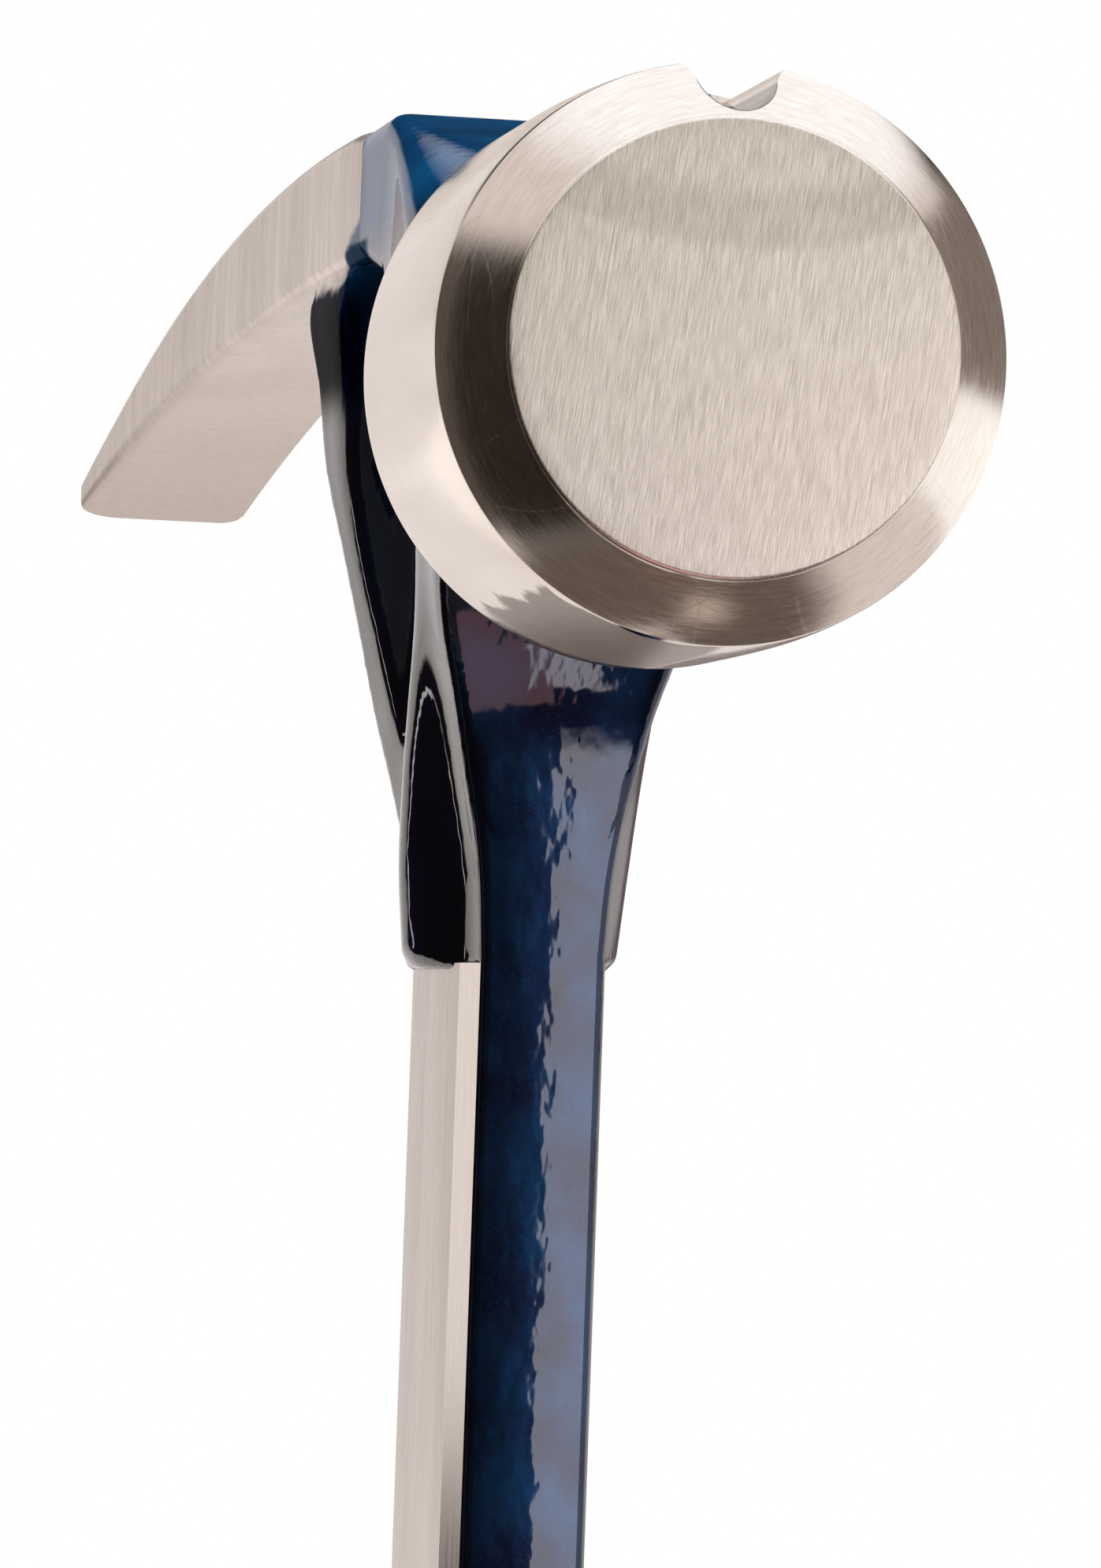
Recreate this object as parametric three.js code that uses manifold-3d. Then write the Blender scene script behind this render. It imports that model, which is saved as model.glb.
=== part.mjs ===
// A rip claw hammer: one steel forging with a stacked leather grip.
// +Z runs up the handle, the poll strikes toward -Y and the claws reach toward +Y.
// The origin is the middle of the flat butt end. All sizes are in millimetres.
import * as THREE from 'three';
import { mergeVertices } from 'three/addons/utils/BufferGeometryUtils.js';
import Module from 'manifold-3d';

const wasm = await Module();
wasm.setup();

// Overall lengths
const overallHeight = 406;
const headTopRise = 19.7;
const faceReach = 60.65;
const clawReach = 85.85;

// Poll: face, ground chamfer, bell and round neck
const faceFlatRadius = 10.4;
const faceRadius = 13.1;
const faceCrown = 0.22;
const faceEdgeRound = 0.35;
const chamferDepth = 3.7;
const bellRadius = 16.5;
const bellSwell = 0.35;
const bellLength = 26;
const bellShoulder = 4;
const pollNeckRadius = 12.3;
const pollNeckLength = 4;
const pollSink = 12;

// Nail starter: a groove along the top of the poll with a magnet under its floor
const grooveFloorRadius = 13.4;
const grooveBottomRadius = 1.9;
const grooveMouthWidth = 5.2;
const grooveLength = 19.5;
const grooveFlareShare = 0.36;
const magnetRadius = 1.6;
const magnetHeight = 3;
const magnetPlace = 14.5;
const magnetRecess = 0.3;

// Cheeks: the neck's round section turns into a block over the handle
const cheekWidth = 20;
const cheekTopLength = 8;
const cheekTopFront = 0.65;
const cheekEdgeRound = 1.4;
const cheekRearBottom = 11.2;
const cheekFrontBottomShare = 0.9;
const cheekInsetShare = 0.97;
const cheekRoundShare = 0.9;

// Claws
const clawRootReach = 7.35;
const clawTipWidth = 35;
const clawTopRadius = 185;
const clawTopStart = 4.35;
const clawUnderRise = 2.15;
const clawUnderDish = 0.9;
const clawDishStartShare = 0.25;
const clawTipDrop = 0.6;
const clawTipRound = 3.4;
const clawEdgeRound = 0.7;
const slotTipWidth = 10.2;
const slotRootWidth = 3;
const slotLength = 57;
const slotBevel = 1.5;
const tipInnerRound = 1.6;

// Neck: two flanges and a raised tongue on each side, ending in a step
const tongueDrop = 33.5;
const neckTop = 12.5;
const tongueThickness = 13.6;
const tongueEndBevel = 1;
const tongueEndShare = 0.85;
const neckCornerRound = 0.8;

// Shank: an eight-sided bar with bare flats
const shankDepth = 24;
const shankThickness = 9.3;
const shankEdgeThickness = 7.8;
const shankBevelLength = 4.1;
const shankTaperDrop = 85;
const shankDepthAtGrip = 21.5;
const shankThicknessAtGrip = 8.7;

// Grip: leather washers threaded on the tang between a ferrule and the butt cap
const gripTop = 166;
const gripDepth = 35;
const gripWidth = 27;
const leatherCount = 26;
const fibreCount = 2;
const fibreThickness = 1.2;
const ferruleThickness = 3.2;
const ferruleEdge = 0.7;
const washerEdge = 0.35;
const ovalRoundnessShare = 0.88;
const glueLine = 0.05;
const tangDepth = 15;
const tangThickness = 6.4;
const tangCorner = 0.8;
const slotClearance = 0.3;

// Butt cap and the pin that holds it to the tang
const capHeight = 10;
const capFloor = 2.6;
const capFlare = 0.9;
const capBottomInset = 1.6;
const pinRadius = 1.8;
const pinHeight = 6.2;
const pinDome = 0.5;
const pinClearance = 0.3;

// Overrun of every cutting shape past the surface that it cuts
const overrun = 2;

// How finely round forms are divided
const roundSteps = 60;
const ovalSteps = 28;
const clawSteps = 16;
const neckSteps = 22;

const steel = { color: 0xc9beb6, roughness: 0.28, metalness: 1 };
const magnetFinish = { color: 0x3b3a3c, roughness: 0.45, metalness: 0.8 };
const capFinish = { color: 0xb9b2aa, roughness: 0.3, metalness: 1 };
const fibreFinish = { color: 0x1b1a1c, roughness: 0.6, metalness: 0 };
const leatherFinishes = [
  { color: 0x7a4422, roughness: 0.5, metalness: 0 },
  { color: 0x8b5129, roughness: 0.5, metalness: 0 },
  { color: 0x69381b, roughness: 0.5, metalness: 0 },
];

// Places that several pieces share
const pollAxis = overallHeight - headTopRise;
const bellShoulderStart = bellLength - bellShoulder / 2;
const pollNeckStart = bellShoulderStart + 2 * bellShoulder;
const tongueEnd = pollAxis - tongueDrop;
const shankFront = -shankDepth / 2;
const stackBottom = capHeight + glueLine;
const stackTop = gripTop - ferruleThickness - glueLine;

// The neck's outline from tongue end to head. Rise is a share of the neck's height; halves
// are shares of the cheek's half width; places are shares of the shank's depth behind its front.
const neckShares = [
  { rise: 0.000, frontHalf: 0.39, front: 0.000, hollowHalf: 0.49, hollow: 0.18, ridgeHalf: 0.68,
    ridge: 0.47, fluteHalf: 0.55, flute: 0.72, flangeHalf: 0.39, flange: 0.90, rearHalf: 0.39, rear: 1.000 },
  { rise: 0.120, frontHalf: 0.43, front: -0.010, hollowHalf: 0.52, hollow: 0.18, ridgeHalf: 0.73,
    ridge: 0.45, fluteHalf: 0.58, flute: 0.72, flangeHalf: 0.47, flange: 0.89, rearHalf: 0.47, rear: 1.000 },
  { rise: 0.240, frontHalf: 0.54, front: -0.030, hollowHalf: 0.58, hollow: 0.14, ridgeHalf: 0.76,
    ridge: 0.39, fluteHalf: 0.57, flute: 0.70, flangeHalf: 0.59, flange: 0.86, rearHalf: 0.60, rear: 1.002 },
  { rise: 0.337, frontHalf: 0.64, front: -0.070, hollowHalf: 0.66, hollow: 0.10, ridgeHalf: 0.78,
    ridge: 0.32, fluteHalf: 0.55, flute: 0.66, flangeHalf: 0.71, flange: 0.79, rearHalf: 0.72, rear: 1.006 },
  { rise: 0.444, frontHalf: 0.78, front: -0.160, hollowHalf: 0.78, hollow: 0.03, ridgeHalf: 0.80,
    ridge: 0.24, fluteHalf: 0.54, flute: 0.62, flangeHalf: 0.82, flange: 0.80, rearHalf: 0.83, rear: 1.015 },
  { rise: 0.554, frontHalf: 0.88, front: -0.300, hollowHalf: 0.87, hollow: -0.05, ridgeHalf: 0.84,
    ridge: 0.18, fluteHalf: 0.54, flute: 0.60, flangeHalf: 0.93, flange: 0.83, rearHalf: 0.94, rear: 1.040 },
  { rise: 0.684, frontHalf: 0.94, front: -0.380, hollowHalf: 0.94, hollow: -0.15, ridgeHalf: 0.90,
    ridge: 0.12, fluteHalf: 0.56, flute: 0.60, flangeHalf: 1.04, flange: 0.84, rearHalf: 1.05, rear: 1.120 },
  { rise: 0.813, frontHalf: 0.94, front: -0.350, hollowHalf: 0.95, hollow: -0.16, ridgeHalf: 0.95,
    ridge: 0.10, fluteHalf: 0.60, flute: 0.62, flangeHalf: 1.07, flange: 0.88, rearHalf: 1.08, rear: 1.230 },
  { rise: 0.924, frontHalf: 0.92, front: -0.200, hollowHalf: 0.95, hollow: -0.08, ridgeHalf: 0.95,
    ridge: 0.12, fluteHalf: 0.64, flute: 0.70, flangeHalf: 1.08, flange: 0.96, rearHalf: 1.09, rear: 1.390 },
  { rise: 1.000, frontHalf: 0.90, front: -0.100, hollowHalf: 0.92, hollow: 0.00, ridgeHalf: 0.93,
    ridge: 0.16, fluteHalf: 0.72, flute: 0.70, flangeHalf: 0.97, flange: 1.00, rearHalf: 0.98, rear: 1.300 },
];

// The grip's outline from cap to ferrule, as shares of its full depth and width
const gripShares = [
  { rise: 0.00, depth: 1.10, width: 1.05 },
  { rise: 0.10, depth: 1.00, width: 0.99 },
  { rise: 0.32, depth: 0.93, width: 0.94 },
  { rise: 0.60, depth: 1.00, width: 1.00 },
  { rise: 0.84, depth: 0.92, width: 0.92 },
  { rise: 1.00, depth: 0.83, width: 0.80 },
];

// Mesh and boolean helpers

function toSolid(geometry) {
  const bare = geometry.clone();
  bare.deleteAttribute('normal');
  bare.deleteAttribute('uv');
  const merged = mergeVertices(bare);
  return new wasm.Manifold(new wasm.Mesh({
    numProp: 3,
    vertProperties: new Float32Array(merged.attributes.position.array),
    triVerts: new Uint32Array(merged.index.array),
  }));
}

function toGeometry(solid) {
  const mesh = solid.getMesh();
  const geometry = new THREE.BufferGeometry();
  const corners = new Float32Array(mesh.triVerts.length * 3);
  for (let i = 0; i < mesh.triVerts.length; i += 1) {
    const from = mesh.triVerts[i] * mesh.numProp;
    corners.set(mesh.vertProperties.slice(from, from + 3), i * 3);
  }
  geometry.setAttribute('position', new THREE.BufferAttribute(corners, 3));
  geometry.computeVertexNormals();
  return geometry;
}

function namedMesh(name, geometry, finish) {
  const mesh = new THREE.Mesh(geometry, new THREE.MeshStandardMaterial(finish));
  mesh.name = name;
  return mesh;
}

// A closed skin through rings of equal length, each end capped by a fan round its middle
function loft(rings) {
  const count = rings[0].length;
  const points = rings.flat();
  const index = [];
  for (let r = 0; r + 1 < rings.length; r += 1) {
    for (let i = 0; i < count; i += 1) {
      const a = r * count + i;
      const b = r * count + (i + 1) % count;
      index.push(a, b, b + count, a, b + count, a + count);
    }
  }
  const last = (rings.length - 1) * count;
  for (let i = 0; i < count; i += 1) {
    const next = (i + 1) % count;
    index.push(points.length, next, i, points.length + 1, last + i, last + next);
  }
  points.push(middleOf(rings[0]), middleOf(rings[rings.length - 1]));
  const geometry = new THREE.BufferGeometry().setFromPoints(points);
  geometry.setIndex(index);
  return geometry;
}

function middleOf(ring) {
  const middle = new THREE.Vector3();
  ring.forEach((point) => middle.add(point));
  return middle.divideScalar(ring.length);
}

// A round bar from one point to another
function roundBar(radius, from, to, steps) {
  const length = from.distanceTo(to);
  const bar = new THREE.CylinderGeometry(radius, radius, length, steps);
  const direction = to.clone().sub(from).normalize();
  bar.applyQuaternion(new THREE.Quaternion().setFromUnitVectors(new THREE.Vector3(0, 1, 0), direction));
  bar.translate(...from.clone().add(to).divideScalar(2).toArray());
  return bar;
}

// A flat outline given in X and Y, raised from one height to another
function prism(outline, bottom, top) {
  const shape = new THREE.Shape(outline);
  const geometry = new THREE.ExtrudeGeometry(shape, { depth: top - bottom, bevelEnabled: false });
  geometry.translate(0, 0, bottom);
  return geometry;
}

// Poll

function pollProfile() {
  const profile = [
    new THREE.Vector2(0, 0),
    new THREE.Vector2(faceFlatRadius, 0),
  ];
  const crownSteps = 3;
  for (let i = 1; i <= crownSteps; i += 1) {
    const share = i / crownSteps;
    const radius = faceFlatRadius + (faceRadius - faceEdgeRound - faceFlatRadius) * share;
    profile.push(new THREE.Vector2(radius, faceCrown * share * share));
  }
  profile.push(new THREE.Vector2(faceRadius, faceCrown + faceEdgeRound));
  profile.push(new THREE.Vector2(bellRadius, chamferDepth));
  const swellSteps = 3;
  for (let i = 1; i <= swellSteps; i += 1) {
    const share = i / swellSteps;
    const depth = chamferDepth + (bellShoulderStart - chamferDepth) * share;
    profile.push(new THREE.Vector2(bellRadius + bellSwell * Math.sin(share * Math.PI / 2), depth));
  }
  // The shoulder turns in, then runs out along the neck in a hollow curve
  const shoulderSteps = 4;
  const edgeDrop = (bellRadius + bellSwell - pollNeckRadius) / 2;
  for (let i = 1; i <= shoulderSteps; i += 1) {
    const turn = i / shoulderSteps * Math.PI / 2;
    profile.push(new THREE.Vector2(
      bellRadius + bellSwell - edgeDrop * (1 - Math.cos(turn)),
      bellShoulderStart + bellShoulder * Math.sin(turn),
    ));
  }
  for (let i = 1; i <= shoulderSteps; i += 1) {
    const turn = i / shoulderSteps * Math.PI / 2;
    profile.push(new THREE.Vector2(
      bellRadius + bellSwell - edgeDrop - edgeDrop * Math.sin(turn),
      bellShoulderStart + bellShoulder * (2 - Math.cos(turn)),
    ));
  }
  profile.push(new THREE.Vector2(pollNeckRadius, pollNeckStart + pollNeckLength));
  profile.push(new THREE.Vector2(pollNeckRadius / 2, pollNeckStart + pollSink));
  profile.push(new THREE.Vector2(0, pollNeckStart + pollSink));
  return profile;
}

// The lathe turns about Y, which already is the head's own axis
function pollSolid() {
  const poll = new THREE.LatheGeometry(pollProfile(), roundSteps);
  poll.translate(0, -faceReach, pollAxis);
  return toSolid(poll);
}

// A nail's bed: a round floor with walls that flare to the mouth
function grooveCutter() {
  const floor = grooveFloorRadius;
  const flareTurn = grooveFlareShare * Math.PI;
  const outline = [];
  const floorSteps = 8;
  for (let i = 0; i <= floorSteps; i += 1) {
    const turn = -flareTurn + 2 * flareTurn * i / floorSteps;
    outline.push(new THREE.Vector2(
      grooveBottomRadius * Math.sin(turn),
      floor + grooveBottomRadius * (1 - Math.cos(turn)),
    ));
  }
  const mouth = bellRadius + overrun;
  const flareRise = mouth - outline[outline.length - 1].y;
  const flareOut = (grooveMouthWidth / 2 - outline[outline.length - 1].x) * flareRise
    / (bellRadius - outline[outline.length - 1].y);
  outline.push(new THREE.Vector2(outline[outline.length - 1].x + flareOut, mouth));
  outline.push(new THREE.Vector2(outline[0].x - flareOut, mouth));
  const cutter = new THREE.ExtrudeGeometry(new THREE.Shape(outline), {
    depth: grooveLength + overrun,
    bevelEnabled: false,
  });
  cutter.rotateX(Math.PI / 2);
  cutter.translate(0, grooveLength - faceReach, pollAxis);
  return toSolid(cutter);
}

function magnetAxisPoint(height) {
  return new THREE.Vector3(0, magnetPlace - faceReach, pollAxis + height);
}

function magnetTop() {
  return grooveFloorRadius - magnetRecess;
}

function magnetBore() {
  const bottom = magnetTop() - magnetHeight - slotClearance;
  return toSolid(roundBar(
    magnetRadius + slotClearance,
    magnetAxisPoint(bottom),
    magnetAxisPoint(bellRadius),
    ovalSteps / 2,
  ));
}

function nailMagnet() {
  const bar = roundBar(
    magnetRadius,
    magnetAxisPoint(magnetTop() - magnetHeight),
    magnetAxisPoint(magnetTop()),
    ovalSteps / 2,
  );
  return namedMesh('nail_magnet', bar, magnetFinish);
}

// Cheeks and claws: flat sections across X and Z, strung along Y

// A four-cornered section with rounded corners and a hollowed underside
function blockRing(place, half, top, bottom, topRound, bottomRound, dish) {
  const corners = [
    [half, bottom, bottomRound, -0.5],
    [half, top, topRound, 0],
    [-half, top, topRound, 0.5],
    [-half, bottom, bottomRound, 1],
  ];
  const ring = [];
  const cornerSteps = 3;
  for (const [x, z, round, startTurn] of corners) {
    const centreX = x - Math.sign(x) * round;
    const centreZ = z - (z === top ? round : -round);
    for (let i = 0; i <= cornerSteps; i += 1) {
      const turn = (startTurn + 0.5 * i / cornerSteps) * Math.PI;
      ring.push(new THREE.Vector3(
        centreX + round * Math.cos(turn),
        place,
        pollAxis + centreZ + round * Math.sin(turn),
      ));
    }
  }
  for (const share of [-0.5, 0, 0.5]) {
    const x = (half - bottomRound) * share;
    ring.push(new THREE.Vector3(x, place, pollAxis + bottom + dish * (1 - share * share)));
  }
  return ring.reverse();
}

function clawHalf(reach) {
  const share = Math.max(0, (reach - clawRootReach) / (clawReach - clawRootReach));
  return cheekWidth / 2 + (clawTipWidth - cheekWidth) / 2 * share;
}

function clawTop(reach) {
  const past = Math.max(0, reach - clawTopStart);
  return headTopRise - clawTopRadius + Math.sqrt(clawTopRadius ** 2 - past ** 2);
}

function clawUnder(reach) {
  const share = (reach - clawRootReach) / (clawReach - clawRootReach);
  const straight = cheekRearBottom + (-clawTipDrop - cheekRearBottom) * share;
  return straight + clawUnderRise * 4 * share * (1 - share);
}

// Sections from the round neck to the cheeks, as shares of the way between the two
function cheekRings() {
  const start = pollNeckStart - faceReach;
  const end = cheekTopFront - cheekTopLength / 4;
  const inset = pollNeckRadius * cheekInsetShare;
  const nearlyRound = inset * cheekRoundShare;
  const steps = 8;
  const rings = [];
  for (let i = 0; i <= steps; i += 1) {
    const share = i / steps;
    const eased = THREE.MathUtils.smoothstep(share, 0, 1);
    rings.push(blockRing(
      THREE.MathUtils.lerp(start, end, share),
      THREE.MathUtils.lerp(inset, cheekWidth / 2, eased),
      THREE.MathUtils.lerp(inset, headTopRise, share),
      THREE.MathUtils.lerp(-inset, cheekRearBottom, share ** 2 * cheekFrontBottomShare),
      THREE.MathUtils.lerp(nearlyRound, cheekEdgeRound, eased),
      THREE.MathUtils.lerp(nearlyRound, cheekEdgeRound, eased),
      0,
    ));
  }
  return rings;
}

function headBlockSolid() {
  const rings = cheekRings();
  rings.push(blockRing(clawRootReach, cheekWidth / 2, clawTop(clawRootReach), cheekRearBottom,
    cheekEdgeRound, cheekEdgeRound / 2, 0));
  for (let i = 1; i <= clawSteps; i += 1) {
    const share = i / clawSteps;
    const reach = clawRootReach + (clawReach - clawRootReach) * share;
    const thickness = clawTop(reach) - clawUnder(reach);
    const round = Math.min(clawEdgeRound, thickness / 4);
    const dish = clawUnderDish * Math.min(1, share / clawDishStartShare) * (1 - share);
    rings.push(blockRing(reach, clawHalf(reach), clawTop(reach), clawUnder(reach), round, round, dish));
  }
  return toSolid(loft(rings));
}

// The V between the claws, seen from above
function slotOutline(spread) {
  const root = clawReach - slotLength;
  const rootHalf = slotRootWidth / 2 + spread;
  const slope = (slotTipWidth - slotRootWidth) / 2 / slotLength;
  const end = clawReach + overrun;
  const tipHalf = slotTipWidth / 2 + slope * overrun + spread;
  const outline = [new THREE.Vector2(tipHalf, end), new THREE.Vector2(-tipHalf, end)];
  const rootSteps = 8;
  for (let i = 0; i <= rootSteps; i += 1) {
    const turn = Math.PI + Math.PI * i / rootSteps;
    outline.push(new THREE.Vector2(rootHalf * Math.cos(turn), root + rootHalf * Math.sin(turn)));
  }
  return outline;
}

function slotCutter() {
  const bottom = pollAxis - overrun - clawTipDrop;
  const top = pollAxis + headTopRise + overrun;
  return toSolid(prism(slotOutline(0), bottom, top));
}

// A bevel along the slot's upper edges, which follows the claws' curve
function slotBevelCutter() {
  const rings = [];
  for (let i = 0; i <= clawSteps; i += 1) {
    const share = i / clawSteps;
    const reach = clawReach - slotLength + (slotLength + overrun) * share;
    const half = slotRootWidth / 2 + (slotTipWidth - slotRootWidth) / 2
      * (reach - clawReach + slotLength) / slotLength;
    const top = pollAxis + clawTop(reach);
    const depth = Math.min(slotBevel, (clawTop(reach) - clawUnder(Math.min(reach, clawReach))) / 3);
    rings.push([
      new THREE.Vector3(half - depth, reach, top - 2 * depth),
      new THREE.Vector3(half + depth + overrun, reach, top + 2 * overrun),
      new THREE.Vector3(-half - depth - overrun, reach, top + 2 * overrun),
      new THREE.Vector3(-half + depth, reach, top - 2 * depth),
    ].reverse());
  }
  return toSolid(loft(rings));
}

// Blocks that take the square corners off the claw tips, outside and inside
function tipCornerCutters() {
  const cutters = [];
  const bottom = pollAxis - overrun - clawTipDrop;
  const top = pollAxis + headTopRise;
  const cornerSteps = 6;
  const corners = [
    [clawTipWidth / 2, clawTipRound, 1],
    [slotTipWidth / 2, tipInnerRound, -1],
  ];
  for (const side of [-1, 1]) {
    for (const [edge, round, outward] of corners) {
      const centre = edge - outward * round;
      const outline = [
        new THREE.Vector2(side * (edge + outward * overrun), clawReach - round),
        new THREE.Vector2(side * (edge + outward * overrun), clawReach + overrun),
        new THREE.Vector2(side * centre, clawReach + overrun),
      ];
      for (let i = 0; i <= cornerSteps; i += 1) {
        const turn = Math.PI / 2 * (1 - i / cornerSteps);
        outline.push(new THREE.Vector2(
          side * (centre + outward * round * Math.cos(turn)),
          clawReach - round + round * Math.sin(turn),
        ));
      }
      cutters.push(toSolid(prism(outline, bottom, top)));
    }
  }
  return cutters;
}

// Neck

function neckRing(shares, height, grown) {
  const unit = cheekWidth / 2;
  const place = (share) => shankFront + shankDepth * share;
  const round = neckCornerRound;
  const side = new THREE.CatmullRomCurve3([
    new THREE.Vector3(unit * shares.frontHalf, place(shares.front) + round, 0),
    new THREE.Vector3(unit * shares.hollowHalf, place(shares.hollow), 0),
    new THREE.Vector3(unit * shares.ridgeHalf * grown, place(shares.ridge), 0),
    new THREE.Vector3(unit * shares.fluteHalf, place(shares.flute), 0),
    new THREE.Vector3(unit * shares.flangeHalf, place(shares.flange), 0),
    new THREE.Vector3(unit * shares.rearHalf, place(shares.rear) - round, 0),
  ], false, 'centripetal');
  const half = [new THREE.Vector3(unit * shares.frontHalf - round, place(shares.front), 0)];
  const sideSteps = 15;
  for (let i = 0; i <= sideSteps; i += 1) {
    half.push(side.getPoint(i / sideSteps));
  }
  half.push(new THREE.Vector3(unit * shares.rearHalf - round, place(shares.rear), 0));
  const mirrored = half.map((point) => new THREE.Vector3(-point.x, point.y, 0)).reverse();
  return [...half, ...mirrored].map((point) => point.setZ(height));
}

// The share table's values at any rise, on a smooth curve through its rows
function neckSharesAt(rise) {
  const last = neckShares.length - 1;
  let row = 0;
  while (row < last - 1 && neckShares[row + 1].rise < rise) {
    row += 1;
  }
  const before = neckShares[Math.max(0, row - 1)];
  const from = neckShares[row];
  const to = neckShares[row + 1];
  const after = neckShares[Math.min(last, row + 2)];
  const run = to.rise - from.rise;
  const t = (rise - from.rise) / run;
  const shares = { rise };
  for (const key of Object.keys(from).filter((name) => name !== 'rise')) {
    const slopeFrom = (to[key] - before[key]) / (to.rise - before.rise) * run;
    const slopeTo = (after[key] - from[key]) / (after.rise - from.rise) * run;
    shares[key] = from[key] * (2 * t ** 3 - 3 * t ** 2 + 1) + slopeFrom * (t ** 3 - 2 * t ** 2 + t)
      + to[key] * (3 * t ** 2 - 2 * t ** 3) + slopeTo * (t ** 3 - t ** 2);
  }
  return shares;
}

function neckSolid() {
  const height = tongueDrop + neckTop;
  const ridgeGrown = tongueThickness / (cheekWidth * neckShares[0].ridgeHalf);
  const rings = [];
  for (let i = 0; i <= neckSteps; i += 1) {
    const rise = i / neckSteps;
    const grown = 1 + (ridgeGrown - 1) * (1 - rise);
    rings.push(neckRing(neckSharesAt(rise), tongueEnd + height * rise, grown));
  }
  const endShares = { ...neckShares[0], ridgeHalf: neckShares[0].ridgeHalf * tongueEndShare };
  rings.unshift(neckRing(endShares, tongueEnd - tongueEndBevel, ridgeGrown));
  return toSolid(loft(rings));
}

// Shank and tang

function shankRing(depth, thickness, height) {
  const half = thickness / 2;
  const edgeHalf = half * shankEdgeThickness / shankThickness;
  const quarter = depth / 2;
  const bevel = shankBevelLength * depth / shankDepth;
  const round = neckCornerRound / 2;
  const side = [
    [edgeHalf - round, -quarter],
    [edgeHalf, -quarter + round],
    [half, -quarter + bevel],
    [half, quarter - bevel],
    [edgeHalf, quarter - round],
    [edgeHalf - round, quarter],
  ];
  const mirrored = side.map(([x, y]) => [-x, y]).reverse();
  return [...side, ...mirrored].map(([x, y]) => new THREE.Vector3(x, y, height));
}

function shankSolid() {
  return toSolid(loft([
    shankRing(shankDepthAtGrip, shankThicknessAtGrip, gripTop),
    shankRing(shankDepth, shankThickness, pollAxis - shankTaperDrop),
    shankRing(shankDepth, shankThickness, tongueEnd + neckCornerRound),
  ]));
}

function tangOutline(spread) {
  const halfX = tangThickness / 2 + spread;
  const halfY = tangDepth / 2 + spread;
  const corner = tangCorner;
  return [
    [halfX - corner, -halfY],
    [halfX, -halfY + corner],
    [halfX, halfY - corner],
    [halfX - corner, halfY],
    [-halfX + corner, halfY],
    [-halfX, halfY - corner],
    [-halfX, -halfY + corner],
    [-halfX + corner, -halfY],
  ].map(([x, y]) => new THREE.Vector2(x, y));
}

function tangSolid() {
  const bottom = capFloor + slotClearance;
  const tang = toSolid(prism(tangOutline(0), bottom, gripTop + overrun));
  return tang.subtract(pinBore());
}

function pinBore() {
  const reach = gripDepth;
  return toSolid(roundBar(
    pinRadius + pinClearance,
    new THREE.Vector3(-reach, 0, pinHeight),
    new THREE.Vector3(reach, 0, pinHeight),
    ovalSteps / 2,
  ));
}

function forgedBody() {
  let body = pollSolid().add(headBlockSolid()).add(neckSolid()).add(shankSolid()).add(tangSolid());
  body = body.subtract(grooveCutter()).subtract(magnetBore());
  body = body.subtract(slotCutter()).subtract(slotBevelCutter());
  for (const cutter of tipCornerCutters()) {
    body = body.subtract(cutter);
  }
  return namedMesh('forged_body', toGeometry(body), steel);
}

// Grip

const gripCurve = new THREE.CatmullRomCurve3(
  gripShares.map(({ rise, depth, width }) => new THREE.Vector3(width, depth, rise)),
  false,
  'centripetal',
);

// Half width and half depth of the grip at a height
function gripHalves(height) {
  const rise = THREE.MathUtils.clamp((height - capHeight) / (gripTop - capHeight), 0, 1);
  let low = 0;
  let high = 1;
  const halvings = 24;
  for (let i = 0; i < halvings; i += 1) {
    const middle = (low + high) / 2;
    if (gripCurve.getPoint(middle).z < rise) {
      low = middle;
    } else {
      high = middle;
    }
  }
  const point = gripCurve.getPoint((low + high) / 2);
  return [gripWidth / 2 * point.x, gripDepth / 2 * point.y];
}

// An oval ring that is a little squarer than an ellipse
function ovalRing(halfX, halfY, height) {
  const ring = [];
  for (let i = 0; i < ovalSteps; i += 1) {
    const turn = 2 * Math.PI * i / ovalSteps;
    const x = Math.sign(Math.cos(turn)) * Math.abs(Math.cos(turn)) ** ovalRoundnessShare;
    const y = Math.sign(Math.sin(turn)) * Math.abs(Math.sin(turn)) ** ovalRoundnessShare;
    ring.push(new THREE.Vector3(halfX * x, halfY * y, height));
  }
  return ring;
}

// A washer between two heights, with softened rims and a slot for the tang
function washerGeometry(bottom, top, edge) {
  const levels = [
    [bottom, edge],
    [bottom + edge, 0],
    [top - edge, 0],
    [top, edge],
  ];
  const rings = levels.map(([height, inset]) => {
    const [halfX, halfY] = gripHalves(height);
    return ovalRing(halfX - inset, halfY - inset, height);
  });
  const slot = prism(tangOutline(slotClearance), bottom - overrun, top + overrun);
  return toGeometry(toSolid(loft(rings)).subtract(toSolid(slot)));
}

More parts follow.
